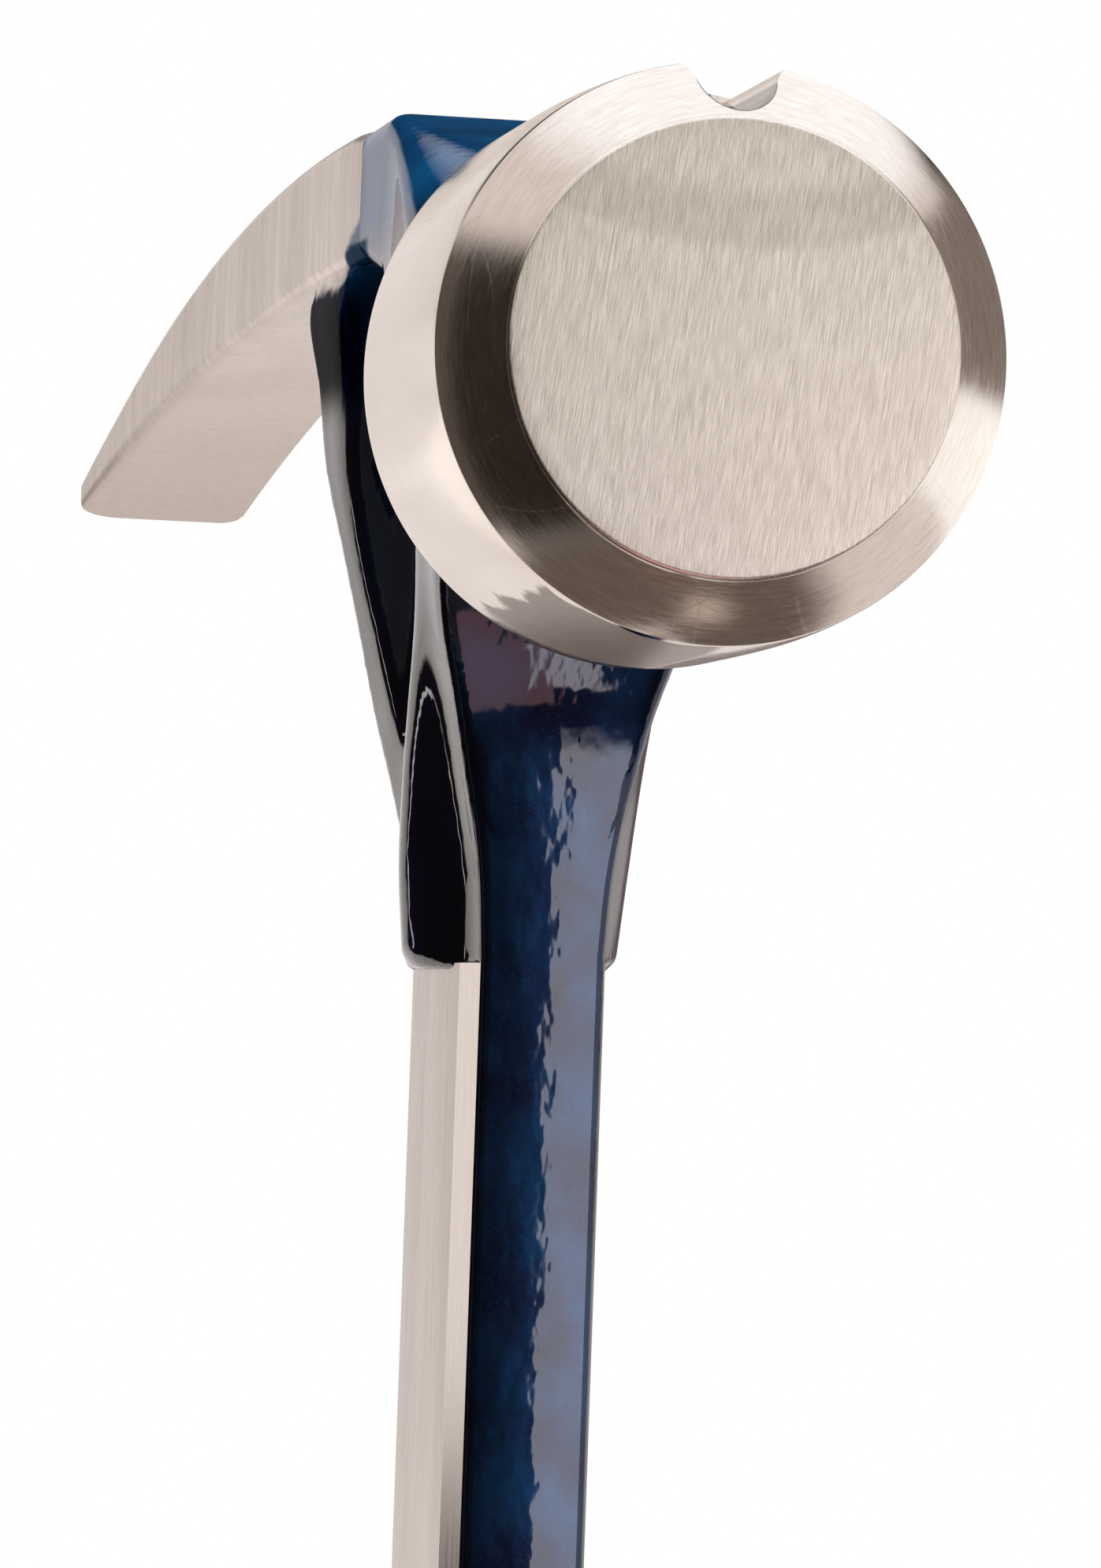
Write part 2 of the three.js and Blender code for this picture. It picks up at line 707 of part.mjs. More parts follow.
function gripStack() {
  const stack = new THREE.Group();
  const fibreRun = fibreCount * (fibreThickness + glueLine);
  for (let i = 0; i < fibreCount; i += 1) {
    const low = stackBottom + i * (fibreThickness + glueLine);
    stack.add(namedMesh(`fibre_spacer_bottom_${i + 1}`,
      washerGeometry(low, low + fibreThickness, washerEdge / 2), fibreFinish));
    const high = stackTop - i * (fibreThickness + glueLine);
    stack.add(namedMesh(`fibre_spacer_top_${i + 1}`,
      washerGeometry(high - fibreThickness, high, washerEdge / 2), fibreFinish));
  }
  const leatherBottom = stackBottom + fibreRun;
  const leatherTop = stackTop - fibreRun;
  const pitch = (leatherTop - leatherBottom + glueLine) / leatherCount;
  for (let i = 0; i < leatherCount; i += 1) {
    const low = leatherBottom + i * pitch;
    const label = String(i + 1).padStart(2, '0');
    stack.add(namedMesh(`leather_washer_${label}`,
      washerGeometry(low, low + pitch - glueLine, washerEdge),
      leatherFinishes[i % leatherFinishes.length]));
  }
  return stack;
}

function gripFerrule() {
  const bottom = gripTop - ferruleThickness;
  return namedMesh('grip_ferrule', washerGeometry(bottom, gripTop, ferruleEdge), capFinish);
}

// Butt cap

function capRing(height, grown) {
  const [halfX, halfY] = gripHalves(capHeight);
  return ovalRing(halfX + grown, halfY + grown, height);
}

function buttCap() {
  const rings = [
    capRing(0, capFlare - capBottomInset),
    capRing(capBottomInset / 2, capFlare - capBottomInset / 4),
    capRing(capBottomInset, capFlare),
    capRing(capHeight - capFlare, capFlare / 2),
    capRing(capHeight, 0),
  ];
  const pocket = prism(tangOutline(slotClearance), capFloor, capHeight + overrun);
  const cap = toSolid(loft(rings)).subtract(toSolid(pocket)).subtract(pinBore());
  return namedMesh('butt_cap', toGeometry(cap), capFinish);
}

function buttCapPin() {
  const reach = gripHalves(capHeight)[0] + capFlare / 2;
  const profile = [
    new THREE.Vector2(0, -reach - pinDome),
    new THREE.Vector2(pinRadius - pinDome, -reach - pinDome / 2),
    new THREE.Vector2(pinRadius, -reach + pinDome / 2),
    new THREE.Vector2(pinRadius, reach - pinDome / 2),
    new THREE.Vector2(pinRadius - pinDome, reach + pinDome / 2),
    new THREE.Vector2(0, reach + pinDome),
  ];
  const pin = new THREE.LatheGeometry(profile, ovalSteps / 2);
  pin.rotateZ(Math.PI / 2);
  pin.translate(0, 0, pinHeight);
  return namedMesh('butt_cap_pin', toGeometry(toSolid(pin)), capFinish);
}

const hammer = new THREE.Group();
hammer.add(forgedBody());
hammer.add(nailMagnet());
hammer.add(gripFerrule());
hammer.add(gripStack());
hammer.add(buttCap());
hammer.add(buttCapPin());

export default hammer;
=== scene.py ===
import math

import bpy
import numpy
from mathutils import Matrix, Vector


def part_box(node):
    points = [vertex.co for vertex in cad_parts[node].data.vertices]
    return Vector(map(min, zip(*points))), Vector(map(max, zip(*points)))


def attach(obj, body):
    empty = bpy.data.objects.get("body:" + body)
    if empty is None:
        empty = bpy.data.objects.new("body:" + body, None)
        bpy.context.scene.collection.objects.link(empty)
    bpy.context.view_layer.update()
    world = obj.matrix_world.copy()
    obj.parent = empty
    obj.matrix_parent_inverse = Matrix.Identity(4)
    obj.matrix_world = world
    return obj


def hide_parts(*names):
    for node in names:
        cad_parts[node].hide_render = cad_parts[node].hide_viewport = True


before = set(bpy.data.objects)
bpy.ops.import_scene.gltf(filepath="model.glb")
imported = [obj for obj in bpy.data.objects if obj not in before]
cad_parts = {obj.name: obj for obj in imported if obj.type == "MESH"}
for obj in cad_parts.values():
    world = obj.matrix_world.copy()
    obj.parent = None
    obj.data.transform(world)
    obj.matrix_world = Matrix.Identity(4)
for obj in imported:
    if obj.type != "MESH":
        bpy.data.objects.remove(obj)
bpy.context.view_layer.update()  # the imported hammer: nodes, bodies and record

bpy.ops.object.select_all(action="DESELECT")

mm = 0.001
headRise = 19.7  # the head's top over the poll's centre line, millimetres
bodyLow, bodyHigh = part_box("forged_body")
pollAxis = bodyHigh.z / mm - headRise  # height of the poll's centre line
faceY, clawTipY = bodyLow.y / mm, bodyHigh.y / mm
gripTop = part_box("grip_ferrule")[1].z / mm
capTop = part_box("butt_cap")[1].z / mm


# Working with objects

def selectOnly(piece):
    bpy.ops.object.select_all(action="DESELECT")
    piece.select_set(True)
    bpy.context.view_layer.objects.active = piece


def enterEdit():
    bpy.ops.object.mode_set(mode="EDIT")
    bpy.ops.mesh.select_all(action="SELECT")


def leaveEdit():
    bpy.ops.object.mode_set(mode="OBJECT")


def settlePlace(piece, name):
    selectOnly(piece)
    bpy.ops.object.transform_apply(location=True, rotation=True, scale=True)
    piece.name = name
    piece.data.name = name
    return piece


def applyModifiers(piece):
    selectOnly(piece)
    for modifier in list(piece.modifiers):
        bpy.ops.object.modifier_apply(modifier=modifier.name)


def cutWith(piece, cutter, keepCutter=False):
    modifier = piece.modifiers.new("cut", "BOOLEAN")
    modifier.operation = "DIFFERENCE"
    modifier.solver = "EXACT"
    modifier.object = cutter
    applyModifiers(piece)
    if not keepCutter:
        bpy.data.objects.remove(cutter)


def joinPieces(pieces, name):
    selectOnly(pieces[0])
    for piece in pieces[1:]:
        piece.select_set(True)
    bpy.ops.object.join()
    return settlePlace(bpy.context.object, name)


# Shades a piece, gives it its material, hides the CAD node it stands in for and hangs it on the root body
def finishPiece(piece, material, node, slotName, degrees=35):
    selectOnly(piece)
    bpy.ops.object.shade_smooth_by_angle(angle=math.radians(degrees))
    piece.data.materials.append(material)
    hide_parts(node)
    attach(piece, "root")


# A grid laid over rings of points, sewn up along its seam and closed at both ends
def loftSkin(name, rings):
    columns = len(rings[0])
    bpy.ops.mesh.primitive_grid_add(x_subdivisions=columns, y_subdivisions=len(rings) - 1, size=1)
    piece = bpy.context.object
    for index, vertex in enumerate(piece.data.vertices):
        row, column = divmod(index, columns + 1)
        vertex.co = Vector(rings[row][column % columns]) * mm
    enterEdit()
    bpy.ops.mesh.remove_doubles(threshold=mm / 10000)
    bpy.ops.mesh.fill_holes(sides=0)
    bpy.ops.mesh.select_all(action="SELECT")
    bpy.ops.mesh.normals_make_consistent(inside=False)
    leaveEdit()
    return settlePlace(piece, name)


# A wire drawn point by point from one vertex, in millimetres
def drawWire(points):
    places = [Vector(point) * mm for point in points]
    bpy.ops.mesh.primitive_plane_add(size=mm, location=places[0])
    enterEdit()
    bpy.ops.mesh.merge(type="CENTER")
    for before, after in zip(places, places[1:]):
        bpy.ops.mesh.extrude_region_move(TRANSFORM_OT_translate={"value": after - before})
    leaveEdit()
    return bpy.context.object


# A wire turned into a closed skin round an axis
def spinSkin(name, points, centre, axis, steps):
    piece = drawWire(points)
    enterEdit()
    bpy.ops.mesh.spin(steps=steps, angle=math.tau, center=Vector(centre) * mm, axis=axis)
    bpy.ops.mesh.select_all(action="SELECT")
    bpy.ops.mesh.remove_doubles(threshold=mm / 1000)
    bpy.ops.mesh.normals_make_consistent(inside=False)
    leaveEdit()
    return settlePlace(piece, name)


def boxPiece(name, low, high):
    middle = (Vector(low) + Vector(high)) / 2 * mm
    bpy.ops.mesh.primitive_cube_add(size=1, location=middle, scale=(Vector(high) - Vector(low)) * mm)
    return settlePlace(bpy.context.object, name)


def cylinderPiece(name, radius, length, place, turn=(0, 0, 0)):
    bpy.ops.mesh.primitive_cylinder_add(vertices=48, radius=radius * mm, depth=length * mm,
                                        location=Vector(place) * mm, rotation=turn)
    return settlePlace(bpy.context.object, name)


def arcPoints(centre, radius, fromDegrees, toDegrees, steps):
    points = []
    for step in range(steps + 1):
        turn = math.radians(fromDegrees + (toDegrees - fromDegrees) * step / steps)
        points.append((centre[0] + radius * math.cos(turn), centre[1] + radius * math.sin(turn)))
    return points


def mixNumbers(low, high, share):
    return low + (high - low) * share


def easeShare(share):
    share = min(1, max(0, share))
    return share * share * (3 - 2 * share)


def evenShares(steps):
    return [step / steps for step in range(steps + 1)]


def quarterTurns(steps):
    return [math.pi / 2 * share for share in evenShares(steps)]


# A ring from its first quarter, mirrored both ways
def mirrorRing(quarter, height):
    half = quarter + [(x, -y) for x, y in reversed(quarter)]
    return [(x, y, height) for x, y in half + [(-x, y) for x, y in reversed(half)]]


# On the way from one value to the next, with the slopes at both
def smoothBetween(start, end, slopeFrom, slopeTo, t):
    return (start * (2 * t ** 3 - 3 * t ** 2 + 1) + slopeFrom * (t ** 3 - 2 * t ** 2 + t)
            + end * (3 * t ** 2 - 2 * t ** 3) + slopeTo * (t ** 3 - t ** 2))


# A point on a smooth curve through all the given points, spaced by the root of their distances
def curvePoint(points, share):
    last = len(points) - 1
    place = share * last
    at = min(int(place), last - 1)
    p1, p2 = points[at], points[at + 1]
    p0 = points[at - 1] if at > 0 else p1 * 2 - p2
    p3 = points[at + 2] if at + 2 <= last else p2 * 2 - p1
    d0, d1, d2 = [max((b - a).length ** 0.5, 1e-4) for a, b in ((p0, p1), (p1, p2), (p2, p3))]
    slopeFrom = ((p1 - p0) / d0 - (p2 - p0) / (d0 + d1) + (p2 - p1) / d1) * d1
    slopeTo = ((p2 - p1) / d1 - (p3 - p1) / (d1 + d2) + (p3 - p2) / d2) * d1
    return smoothBetween(p1, p2, slopeFrom, slopeTo, place - at)


# Camera, lamps and floor

photoCamera = {
    "place": (-90.5, -466.3, 345.6),  # millimetres in the hammer's frame
    "turn": (92.457, -2.036, -11.415),  # degrees
    "focalPixels": 9490,
    "axisPixel": (711.1, 953.8),
    "imagePixels": (1397, 1990),
    "sensor": 36,
}


def makeCamera():
    width, height = photoCamera["imagePixels"]
    longSide = max(width, height)
    bpy.ops.object.camera_add(
        location=Vector(photoCamera["place"]) * mm,
        rotation=[math.radians(turn) for turn in photoCamera["turn"]],
    )
    camera = bpy.context.object
    camera.name = "photoCamera"
    camera.data.sensor_width = photoCamera["sensor"]
    camera.data.lens = photoCamera["focalPixels"] / longSide * photoCamera["sensor"]
    camera.data.shift_x = (width / 2 - photoCamera["axisPixel"][0]) / longSide
    camera.data.shift_y = (photoCamera["axisPixel"][1] - height / 2) / longSide
    camera.data.clip_start = 0.01
    bpy.context.scene.camera = camera


studio = {
    "floorSize": 8.0,  # metres
    "floorColours": ((0.86, 0.85, 0.84, 1), (0.88, 0.87, 0.86, 1)),
    "floorGrain": 60,
    "floorFade": (3.8, 0.9),  # clear at the first reach, solid at the second
    "lampAim": (0, 0, 0.30),
    "topSoftbox": {"place": (-0.2, -0.3, 1.9), "size": 1.4, "power": 9},
    "sideSoftbox": {"place": (1.3, -0.9, 0.7), "size": 1.1, "power": 5},
    "overheadHeight": (0.55, 0.75),
    "ambient": 0.72,  # light from all round on matt surfaces
    "backdrop": (0.95, 0.885, 0.85, 1),  # what polished surfaces mirror from behind
    "overhead": (1.45, 1.50, 1.55, 1),
    "flood": (1.00, 0.94, 0.89, 1),  # the backdrop's brightest parts, at the left
    "spill": (1.25, 1.18, 1.12, 1),
    "panel": (3.5, 3.35, 3.35, 1),  # the bright panel at the right of the camera
    "shade": (0.030, 0.022, 0.018, 1),  # and the dark room at its left
    "dusk": (0.125, 0.105, 0.090, 1),
    "gap": (0.27, 0.225, 0.205, 1),
    "side": (1.45, 1.48, 1.46, 1),
    "under": (0.17, 0.135, 0.115, 1),
    "bounce": (0.85, 0.74, 0.64, 1),
    "loft": (0.020, 0.018, 0.018, 1),  # above the backdrop
    "smoke": (0.78, 0.69, 0.63, 1),
    "transom": (0.90, 0.92, 0.84, 1),
    "glint": (2.6, 2.5, 2.4, 1),  # a narrow bright strip inside the dark
    "ember": (1.35, 0.70, 0.66, 1),
    "umber": (3.9, 3.5, 3.6, 1),
    "gloom": (0.22, 0.165, 0.160, 1),
}

# Zones round the hammer, each with its colour, its degrees (0 on the striking side and positive
# towards +X), its height from -1 straight down to 1 straight up, and the soft edges of the two.
# A later zone lies over an earlier one.
studioZones = [
    ("under", (-140, 150), (-1.2, -0.78), 8, 0.14),
    ("bounce", (18, 66), (-0.99, -0.955), 20, 0.03),
    ("loft", (112, 200), (0.33, 0.62), 12, 0.10),
    ("loft", (-200, -150), (0.33, 0.62), 12, 0.10),
    ("smoke", (140, 200), (0.17, 0.30), 6, 0.03),
    ("backdrop", (-130, -35), (0.50, 0.86), 8, 0.16),
    ("flood", (-162, -142), (-0.50, 0.09), 3, 0.04),
    ("spill", (-168.5, -150), (-0.34, -0.07), 3, 0.05),
    ("shade", (-150, -138), (0.11, 0.40), 3, 0.04),
    ("shade", (-142, -104), (-0.72, 0.50), 5, 0.16),
    ("shade", (-149, -104), (-0.72, -0.055), 4, 0.02),
    ("dusk", (-106, -84), (-0.72, 0.50), 8, 0.16),
    ("shade", (-86, 12.5), (-0.80, 0.50), 2, 0.16),
    ("shade", (8, 60), (-0.80, -0.30), 3, 0.10),
    ("glint", (-141.0, -139.4), (-0.17, -0.05), 0.6, 0.03),
    ("ember", (-16, 13.5), (-0.86, -0.53), 3, 0.04),
    ("umber", (13.5, 19), (-0.74, -0.61), 3, 0.03),
    ("panel", (13.0, 32), (-0.36, 0.46), 0.8, 0.12),
    ("transom", (-40, 60), (0.150, 0.40), 4, 0.02),
    ("gap", (80, 126), (0.015, 0.55), 3, 0.025),
    ("side", (76, 130), (-0.38, -0.01), 6, 0.03),
    ("gloom", (146, 173), (-0.10, 0.035), 10, 0.03),
]


# Shader nodes. A socket takes either a value or another node's output.

def feed(socket, value):
    if isinstance(value, bpy.types.NodeSocket):
        socket.id_data.links.new(value, socket)
    else:
        socket.default_value = value


# Labels are written with _ for a space
def setInputs(node, **values):
    for label, value in values.items():
        feed(node.inputs[label.replace("_", " ")], value)


def startNode(tree, kind, **settings):
    node = tree.nodes.new("ShaderNode" + kind)
    for name, value in settings.items():
        setattr(node, name, value)
    return node


# A node in the tree of those that feed it
def addNode(kind, inputs, **settings):
    tree = next(value.id_data for value in inputs.values() if isinstance(value, bpy.types.NodeSocket))
    node = startNode(tree, kind, **settings)
    for label, value in inputs.items():
        feed(node.inputs[label], value)
    return node


def maths(operation, *values):
    return addNode("Math", dict(enumerate(values)), operation=operation).outputs[0]


def times(product, *factors):
    for factor in factors:
        product = maths("MULTIPLY", product, factor)
    return product


def plus(first, second):
    return maths("ADD", first, second)


def minus(first, second):
    return maths("SUBTRACT", first, second)


# From low to high as the value goes from one bound to the other, softly
def ramp(value, start, end, low=0.0, high=1.0):
    inputs = {"Value": value, "From Min": start, "From Max": end, "To Min": low, "To Max": high}
    return addNode("MapRange", inputs, interpolation_type="SMOOTHSTEP").outputs["Result"]


# From 0 to 1 between two bounds in millimetres
def rampMm(value, bounds):
    return ramp(value, bounds[0] * mm, bounds[1] * mm)


def mixValues(share, first, second):
    return addNode("Mix", {"Factor": share, "A": first, "B": second}).outputs["Result"]


def mixColours(share, first, second, blend="MIX"):
    inputs = {"Factor": share, 6: first, 7: second}  # 6 and 7 are the colour sockets
    return addNode("Mix", inputs, data_type="RGBA", blend_type=blend).outputs[2]


def zoneMask(value, low, high, soft):
    rising = ramp(value, low - soft / 2, low + soft / 2)
    return times(rising, ramp(value, high + soft / 2, high - soft / 2))


def splitVector(vector):
    return addNode("SeparateXYZ", {0: vector}).outputs


def vectorMaths(operation, *values):
    return addNode("VectorMath", dict(enumerate(values)), operation=operation).outputs


def noiseAt(place, scale, detail=2.0, roughness=0.5):
    inputs = {"Vector": place, "Scale": scale, "Detail": detail, "Roughness": roughness}
    return addNode("TexNoise", inputs).outputs["Fac"]


# Layers of height and depth in millimetres, one over the other
def addBumps(*layers, below=None):
    for height, depth in layers:
        bump = addNode("Bump", {"Strength": 1.0, "Distance": depth * mm, "Height": height})
        if below is not None:
            feed(bump.inputs["Normal"], below)
        below = bump.outputs["Normal"]
    return below


def newMaterial(name, **fixed):
    material = bpy.data.materials.new(name)
    material.use_nodes = True
    shader = material.node_tree.nodes["Principled BSDF"]
    setInputs(shader, **fixed)
    return material, shader, startNode(material.node_tree, "TexCoord").outputs["Object"]


def makeWorld():
    world = bpy.data.worlds.new("studioWorld")
    bpy.context.scene.world = world
    world.use_nodes = True
    tree = world.node_tree
    tree.nodes.clear()
    way = splitVector(startNode(tree, "TexCoord").outputs["Generated"])
    turn = times(maths("ARCTAN2", way["X"], times(way["Y"], -1)), 180 / math.pi)
    overhead = ramp(way["Z"], *studio["overheadHeight"])
    colour = mixColours(overhead, studio["backdrop"], studio["overhead"])
    for name, turns, heights, soft, rise in studioZones:
        around = zoneMask(turn, *turns, soft)
        mask = times(around, zoneMask(way["Z"], *heights, rise))
        colour = mixColours(mask, colour, studio[name])
    light = startNode(tree, "LightPath").outputs
    mirrored = maths("MAXIMUM", light["Is Glossy Ray"], light["Is Transmission Ray"])
    ambient = studio["ambient"]
    seen = mixColours(light["Is Camera Ray"], (ambient, ambient, ambient, 1), (1, 1, 1, 1))
    background = addNode("Background", {"Color": mixColours(mirrored, seen, colour)})
    addNode("OutputWorld", {"Surface": background.outputs[0]})


def addLamp(name):
    lampShape = studio[name]
    bpy.ops.object.light_add(type="AREA", location=lampShape["place"])
    lamp = bpy.context.object
    lamp.name = name
    lamp.data.size = lampShape["size"]
    lamp.data.energy = lampShape["power"]
    lamp.visible_glossy = False
    aim = Vector(studio["lampAim"]) - Vector(lampShape["place"])
    lamp.rotation_euler = aim.to_track_quat("-Z", "Y").to_euler()


def makeFloor():
    bpy.ops.mesh.primitive_plane_add(size=studio["floorSize"], location=(0, 0, 0))
    floor = bpy.context.object
    floor.name = "paleFloor"
    material, shader, place = newMaterial("palePaper", Roughness=0.9)
    paper = startNode(material.node_tree, "TexNoise")
    setInputs(paper, Scale=studio["floorGrain"])
    tint = mixColours(ramp(paper.outputs["Fac"], 0.3, 0.7), *studio["floorColours"])
    reach = vectorMaths("LENGTH", place)["Value"]
    setInputs(shader, Base_Color=tint, Alpha=ramp(reach, *studio["floorFade"]))
    floor.data.materials.append(material)
    floor.visible_glossy = False


def makeStudio():
    makeCamera()
    makeWorld()
    addLamp("topSoftbox")
    addLamp("sideSoftbox")
    makeFloor()
    bpy.context.scene.view_settings.view_transform = "Standard"
    print("studio ready")


# Shared surface effects

def newGroup(name, numbers, vectors, outputs):
    group = bpy.data.node_groups.new(name, "ShaderNodeTree")
    for values, kind in ((vectors, "NodeSocketVector"), (numbers, "NodeSocketFloat")):
        for label, value in values.items():
            socket = group.interface.new_socket(label, in_out="INPUT", socket_type=kind)
            socket.default_value = value
    for label in outputs:
        group.interface.new_socket(label, in_out="OUTPUT", socket_type="NodeSocketFloat")
    return group, group.nodes.new("NodeGroupInput").outputs, group.nodes.new("NodeGroupOutput")


# Fine lines left by a grinding belt, with broader bands of lighter and darker metal
def buildGrindLines():
    group, given, result = newGroup("grindLines", {"Scale": 900.0, "Band Scale": 60.0},
                                    {"Vector": (0, 0, 0), "Stretch": (1, 1, 1)}, ["Height", "Band"])
    stretched = vectorMaths("MULTIPLY", given["Vector"], given["Stretch"])[0]
    bands = noiseAt(stretched, given["Band Scale"])
    setInputs(result, Height=noiseAt(stretched, given["Scale"], 5, 0.7), Band=ramp(bands, 0.35, 0.65))
    return group


# 1 inside a border and 0 outside it, with a torn edge
def buildTornEdge():
    numbers = {"Distance": 0.0, "Tear": 0.001, "Scale": 400.0, "Softness": 0.0003}
    group, given, result = newGroup("tornEdge", numbers, {"Vector": (0, 0, 0)}, ["Mask"])
    centred = minus(noiseAt(given["Vector"], given["Scale"], 4, 0.6), 0.5)
    place = plus(given["Distance"], times(centred, given["Tear"]))
    low = times(given["Softness"], -1)
    setInputs(result, Mask=ramp(place, low, given["Softness"]))
    return group


# Metal flakes under lacquer, and the lacquer's own slow waves
def buildPaintFlakes():
    group, given, result = newGroup("paintFlakes", {"Flake Scale": 3000.0, "Wave Scale": 500.0},
                                    {"Vector": (0, 0, 0), "Stretch": (1, 1, 1)}, ["Flake", "Wave", "Cloud"])
    flakes = addNode("TexVoronoi", {"Vector": given["Vector"], "Scale": given["Flake Scale"]})
    shade = addNode("SeparateColor", {0: flakes.outputs["Color"]}).outputs[0]
    stretched = vectorMaths("MULTIPLY", given["Vector"], given["Stretch"])[0]
    waves = noiseAt(stretched, given["Wave Scale"], 2.5, 0.55)
    clouds = noiseAt(given["Vector"], 180, 3)
    setInputs(result, Flake=shade, Wave=waves, Cloud=ramp(clouds, 0.35, 0.7))
    return group


# Thin crossing hairline scratches
def buildHairlines():
    numbers = {"Scale": 260.0, "Width": 0.02}
    group, given, result = newGroup("hairlines", numbers, {"Vector": (0, 0, 0)}, ["Mask"])
    masks = []
    for angle, stretch in ((24, 0.10), (-57, 0.13)):
        turns = [math.radians(degrees) for degrees in (12, angle, angle / 2)]
        inputs = {"Vector": given["Vector"], "Rotation": turns, "Scale": (1, 1, stretch)}
        slanted = addNode("Mapping", inputs).outputs[0]
        cells = addNode("TexVoronoi", {"Vector": slanted, "Scale": given["Scale"]},
                        feature="DISTANCE_TO_EDGE")
        masks.append(ramp(cells.outputs["Distance"], given["Width"], 0.0))
    setInputs(result, Mask=maths("MAXIMUM", *masks))
    return group


surfaceEffects = {
    "grindLines": buildGrindLines(),
    "tornEdge": buildTornEdge(),
    "paintFlakes": buildPaintFlakes(),
    "hairlines": buildHairlines(),
}


def useEffect(name, **values):
    node = startNode(values["Vector"].id_data, "Group", node_tree=surfaceEffects[name])
    setInputs(node, **values)
    return node.outputs


# Steel

steelTones = {
    "polished": (0.74, 0.665, 0.615, 1),
    "worn": (0.62, 0.55, 0.50, 1),
    "faceLight": (0.84, 0.76, 0.70, 1),
    "faceDark": (0.44, 0.385, 0.34, 1),
    # darkens a band over the face's top: painted reflection
    "faceReflectionShade": (0.87, 0.87, 0.86, 1),
    "satinLight": (0.70, 0.625, 0.585, 1),
    "satinDark": (0.60, 0.53, 0.49, 1),
    "clawTip": (0.52, 0.445, 0.41, 1),
    "flatLight": (0.58, 0.515, 0.485, 1),
    "flatDark": (0.50, 0.44, 0.415, 1),
    # the shank's bevels painted lighter than its flats: painted highlight
    "bevelHighlight": (0.80, 0.73, 0.69, 1),
    # the brownish lens under the bell: painted reflection
    "bellReflectionBrown": (0.29, 0.22, 0.19, 1),
    # the groove's walls: painted shade
    "grooveShadeDark": (0.07, 0.065, 0.065, 1),
    "grooveShadeLight": (0.27, 0.25, 0.245, 1),
}

pollFinish = {  # bounds and depths in millimetres
    "faceEdge": (13.0, 12.8), "faceDepth": (0.8, 0.6), "chamferDepth": (3.9, 3.6),
    "faceTilt": -7,  # degrees
    "faceLines": {"Stretch": (1, 1, 0.032), "Scale": 15500.0, "Band_Scale": 900.0},
    "chamferLines": {"Stretch": (1, 0.0014, 0.0014), "Scale": 6200.0, "Band_Scale": 500.0},
    "bellLines": {"Stretch": (1, 0.2, 1), "Scale": 1600.0, "Band_Scale": 160.0},
    "scratches": {"Scale": 170.0, "Width": 0.006},
    "faceRough": (0.32, 0.44), "chamferRough": (0.12, 0.22), "bellRough": (0.09, 0.16),
    "scratchRough": 0.08,
    "faceRelief": 0.013, "chamferRelief": 0.007, "bellRelief": 0.0012,
    "hollowScale": 130, "hollowStart": (3.8, 4.4), "hollowRelief": 0.035,
    # the face's darkened band: painted reflection
    "reflectionBandBend": 18, "reflectionBandFoot": (5.2, 6.0), "reflectionBandTop": (9.5, 8.0),
    "lensScale": 260, "lensWander": 2.4,  # the dark brownish lens under the bell: painted reflection on rougher steel
    "lensTop": (-13.5, -13.9), "lensStart": (4.2, 4.5), "lensEnd": (24.0, 21.0), "lensSide": (1.0, 0.2),
    "lensMetal": -0.70, "lensRough": 0.24,
    "anisotropy": 0.72,
}


# 1 on the walls of the nail groove, which are painted darker as painted shade
def grooveShadeMask(where, depth):
    shape = grooveShape
    rise = minus(where["Z"], (pollAxis + shape["floorRadius"] + shape["bottomRadius"]) * mm)
    squares = plus(times(rise, rise), times(where["X"], where["X"]))
    wall = shape["bottomRadius"] + 0.06
    inside = rampMm(maths("SQRT", squares), (wall + 0.02, wall - 0.02))
    return times(inside, rampMm(depth, (shape["length"] + 0.1, shape["length"])))


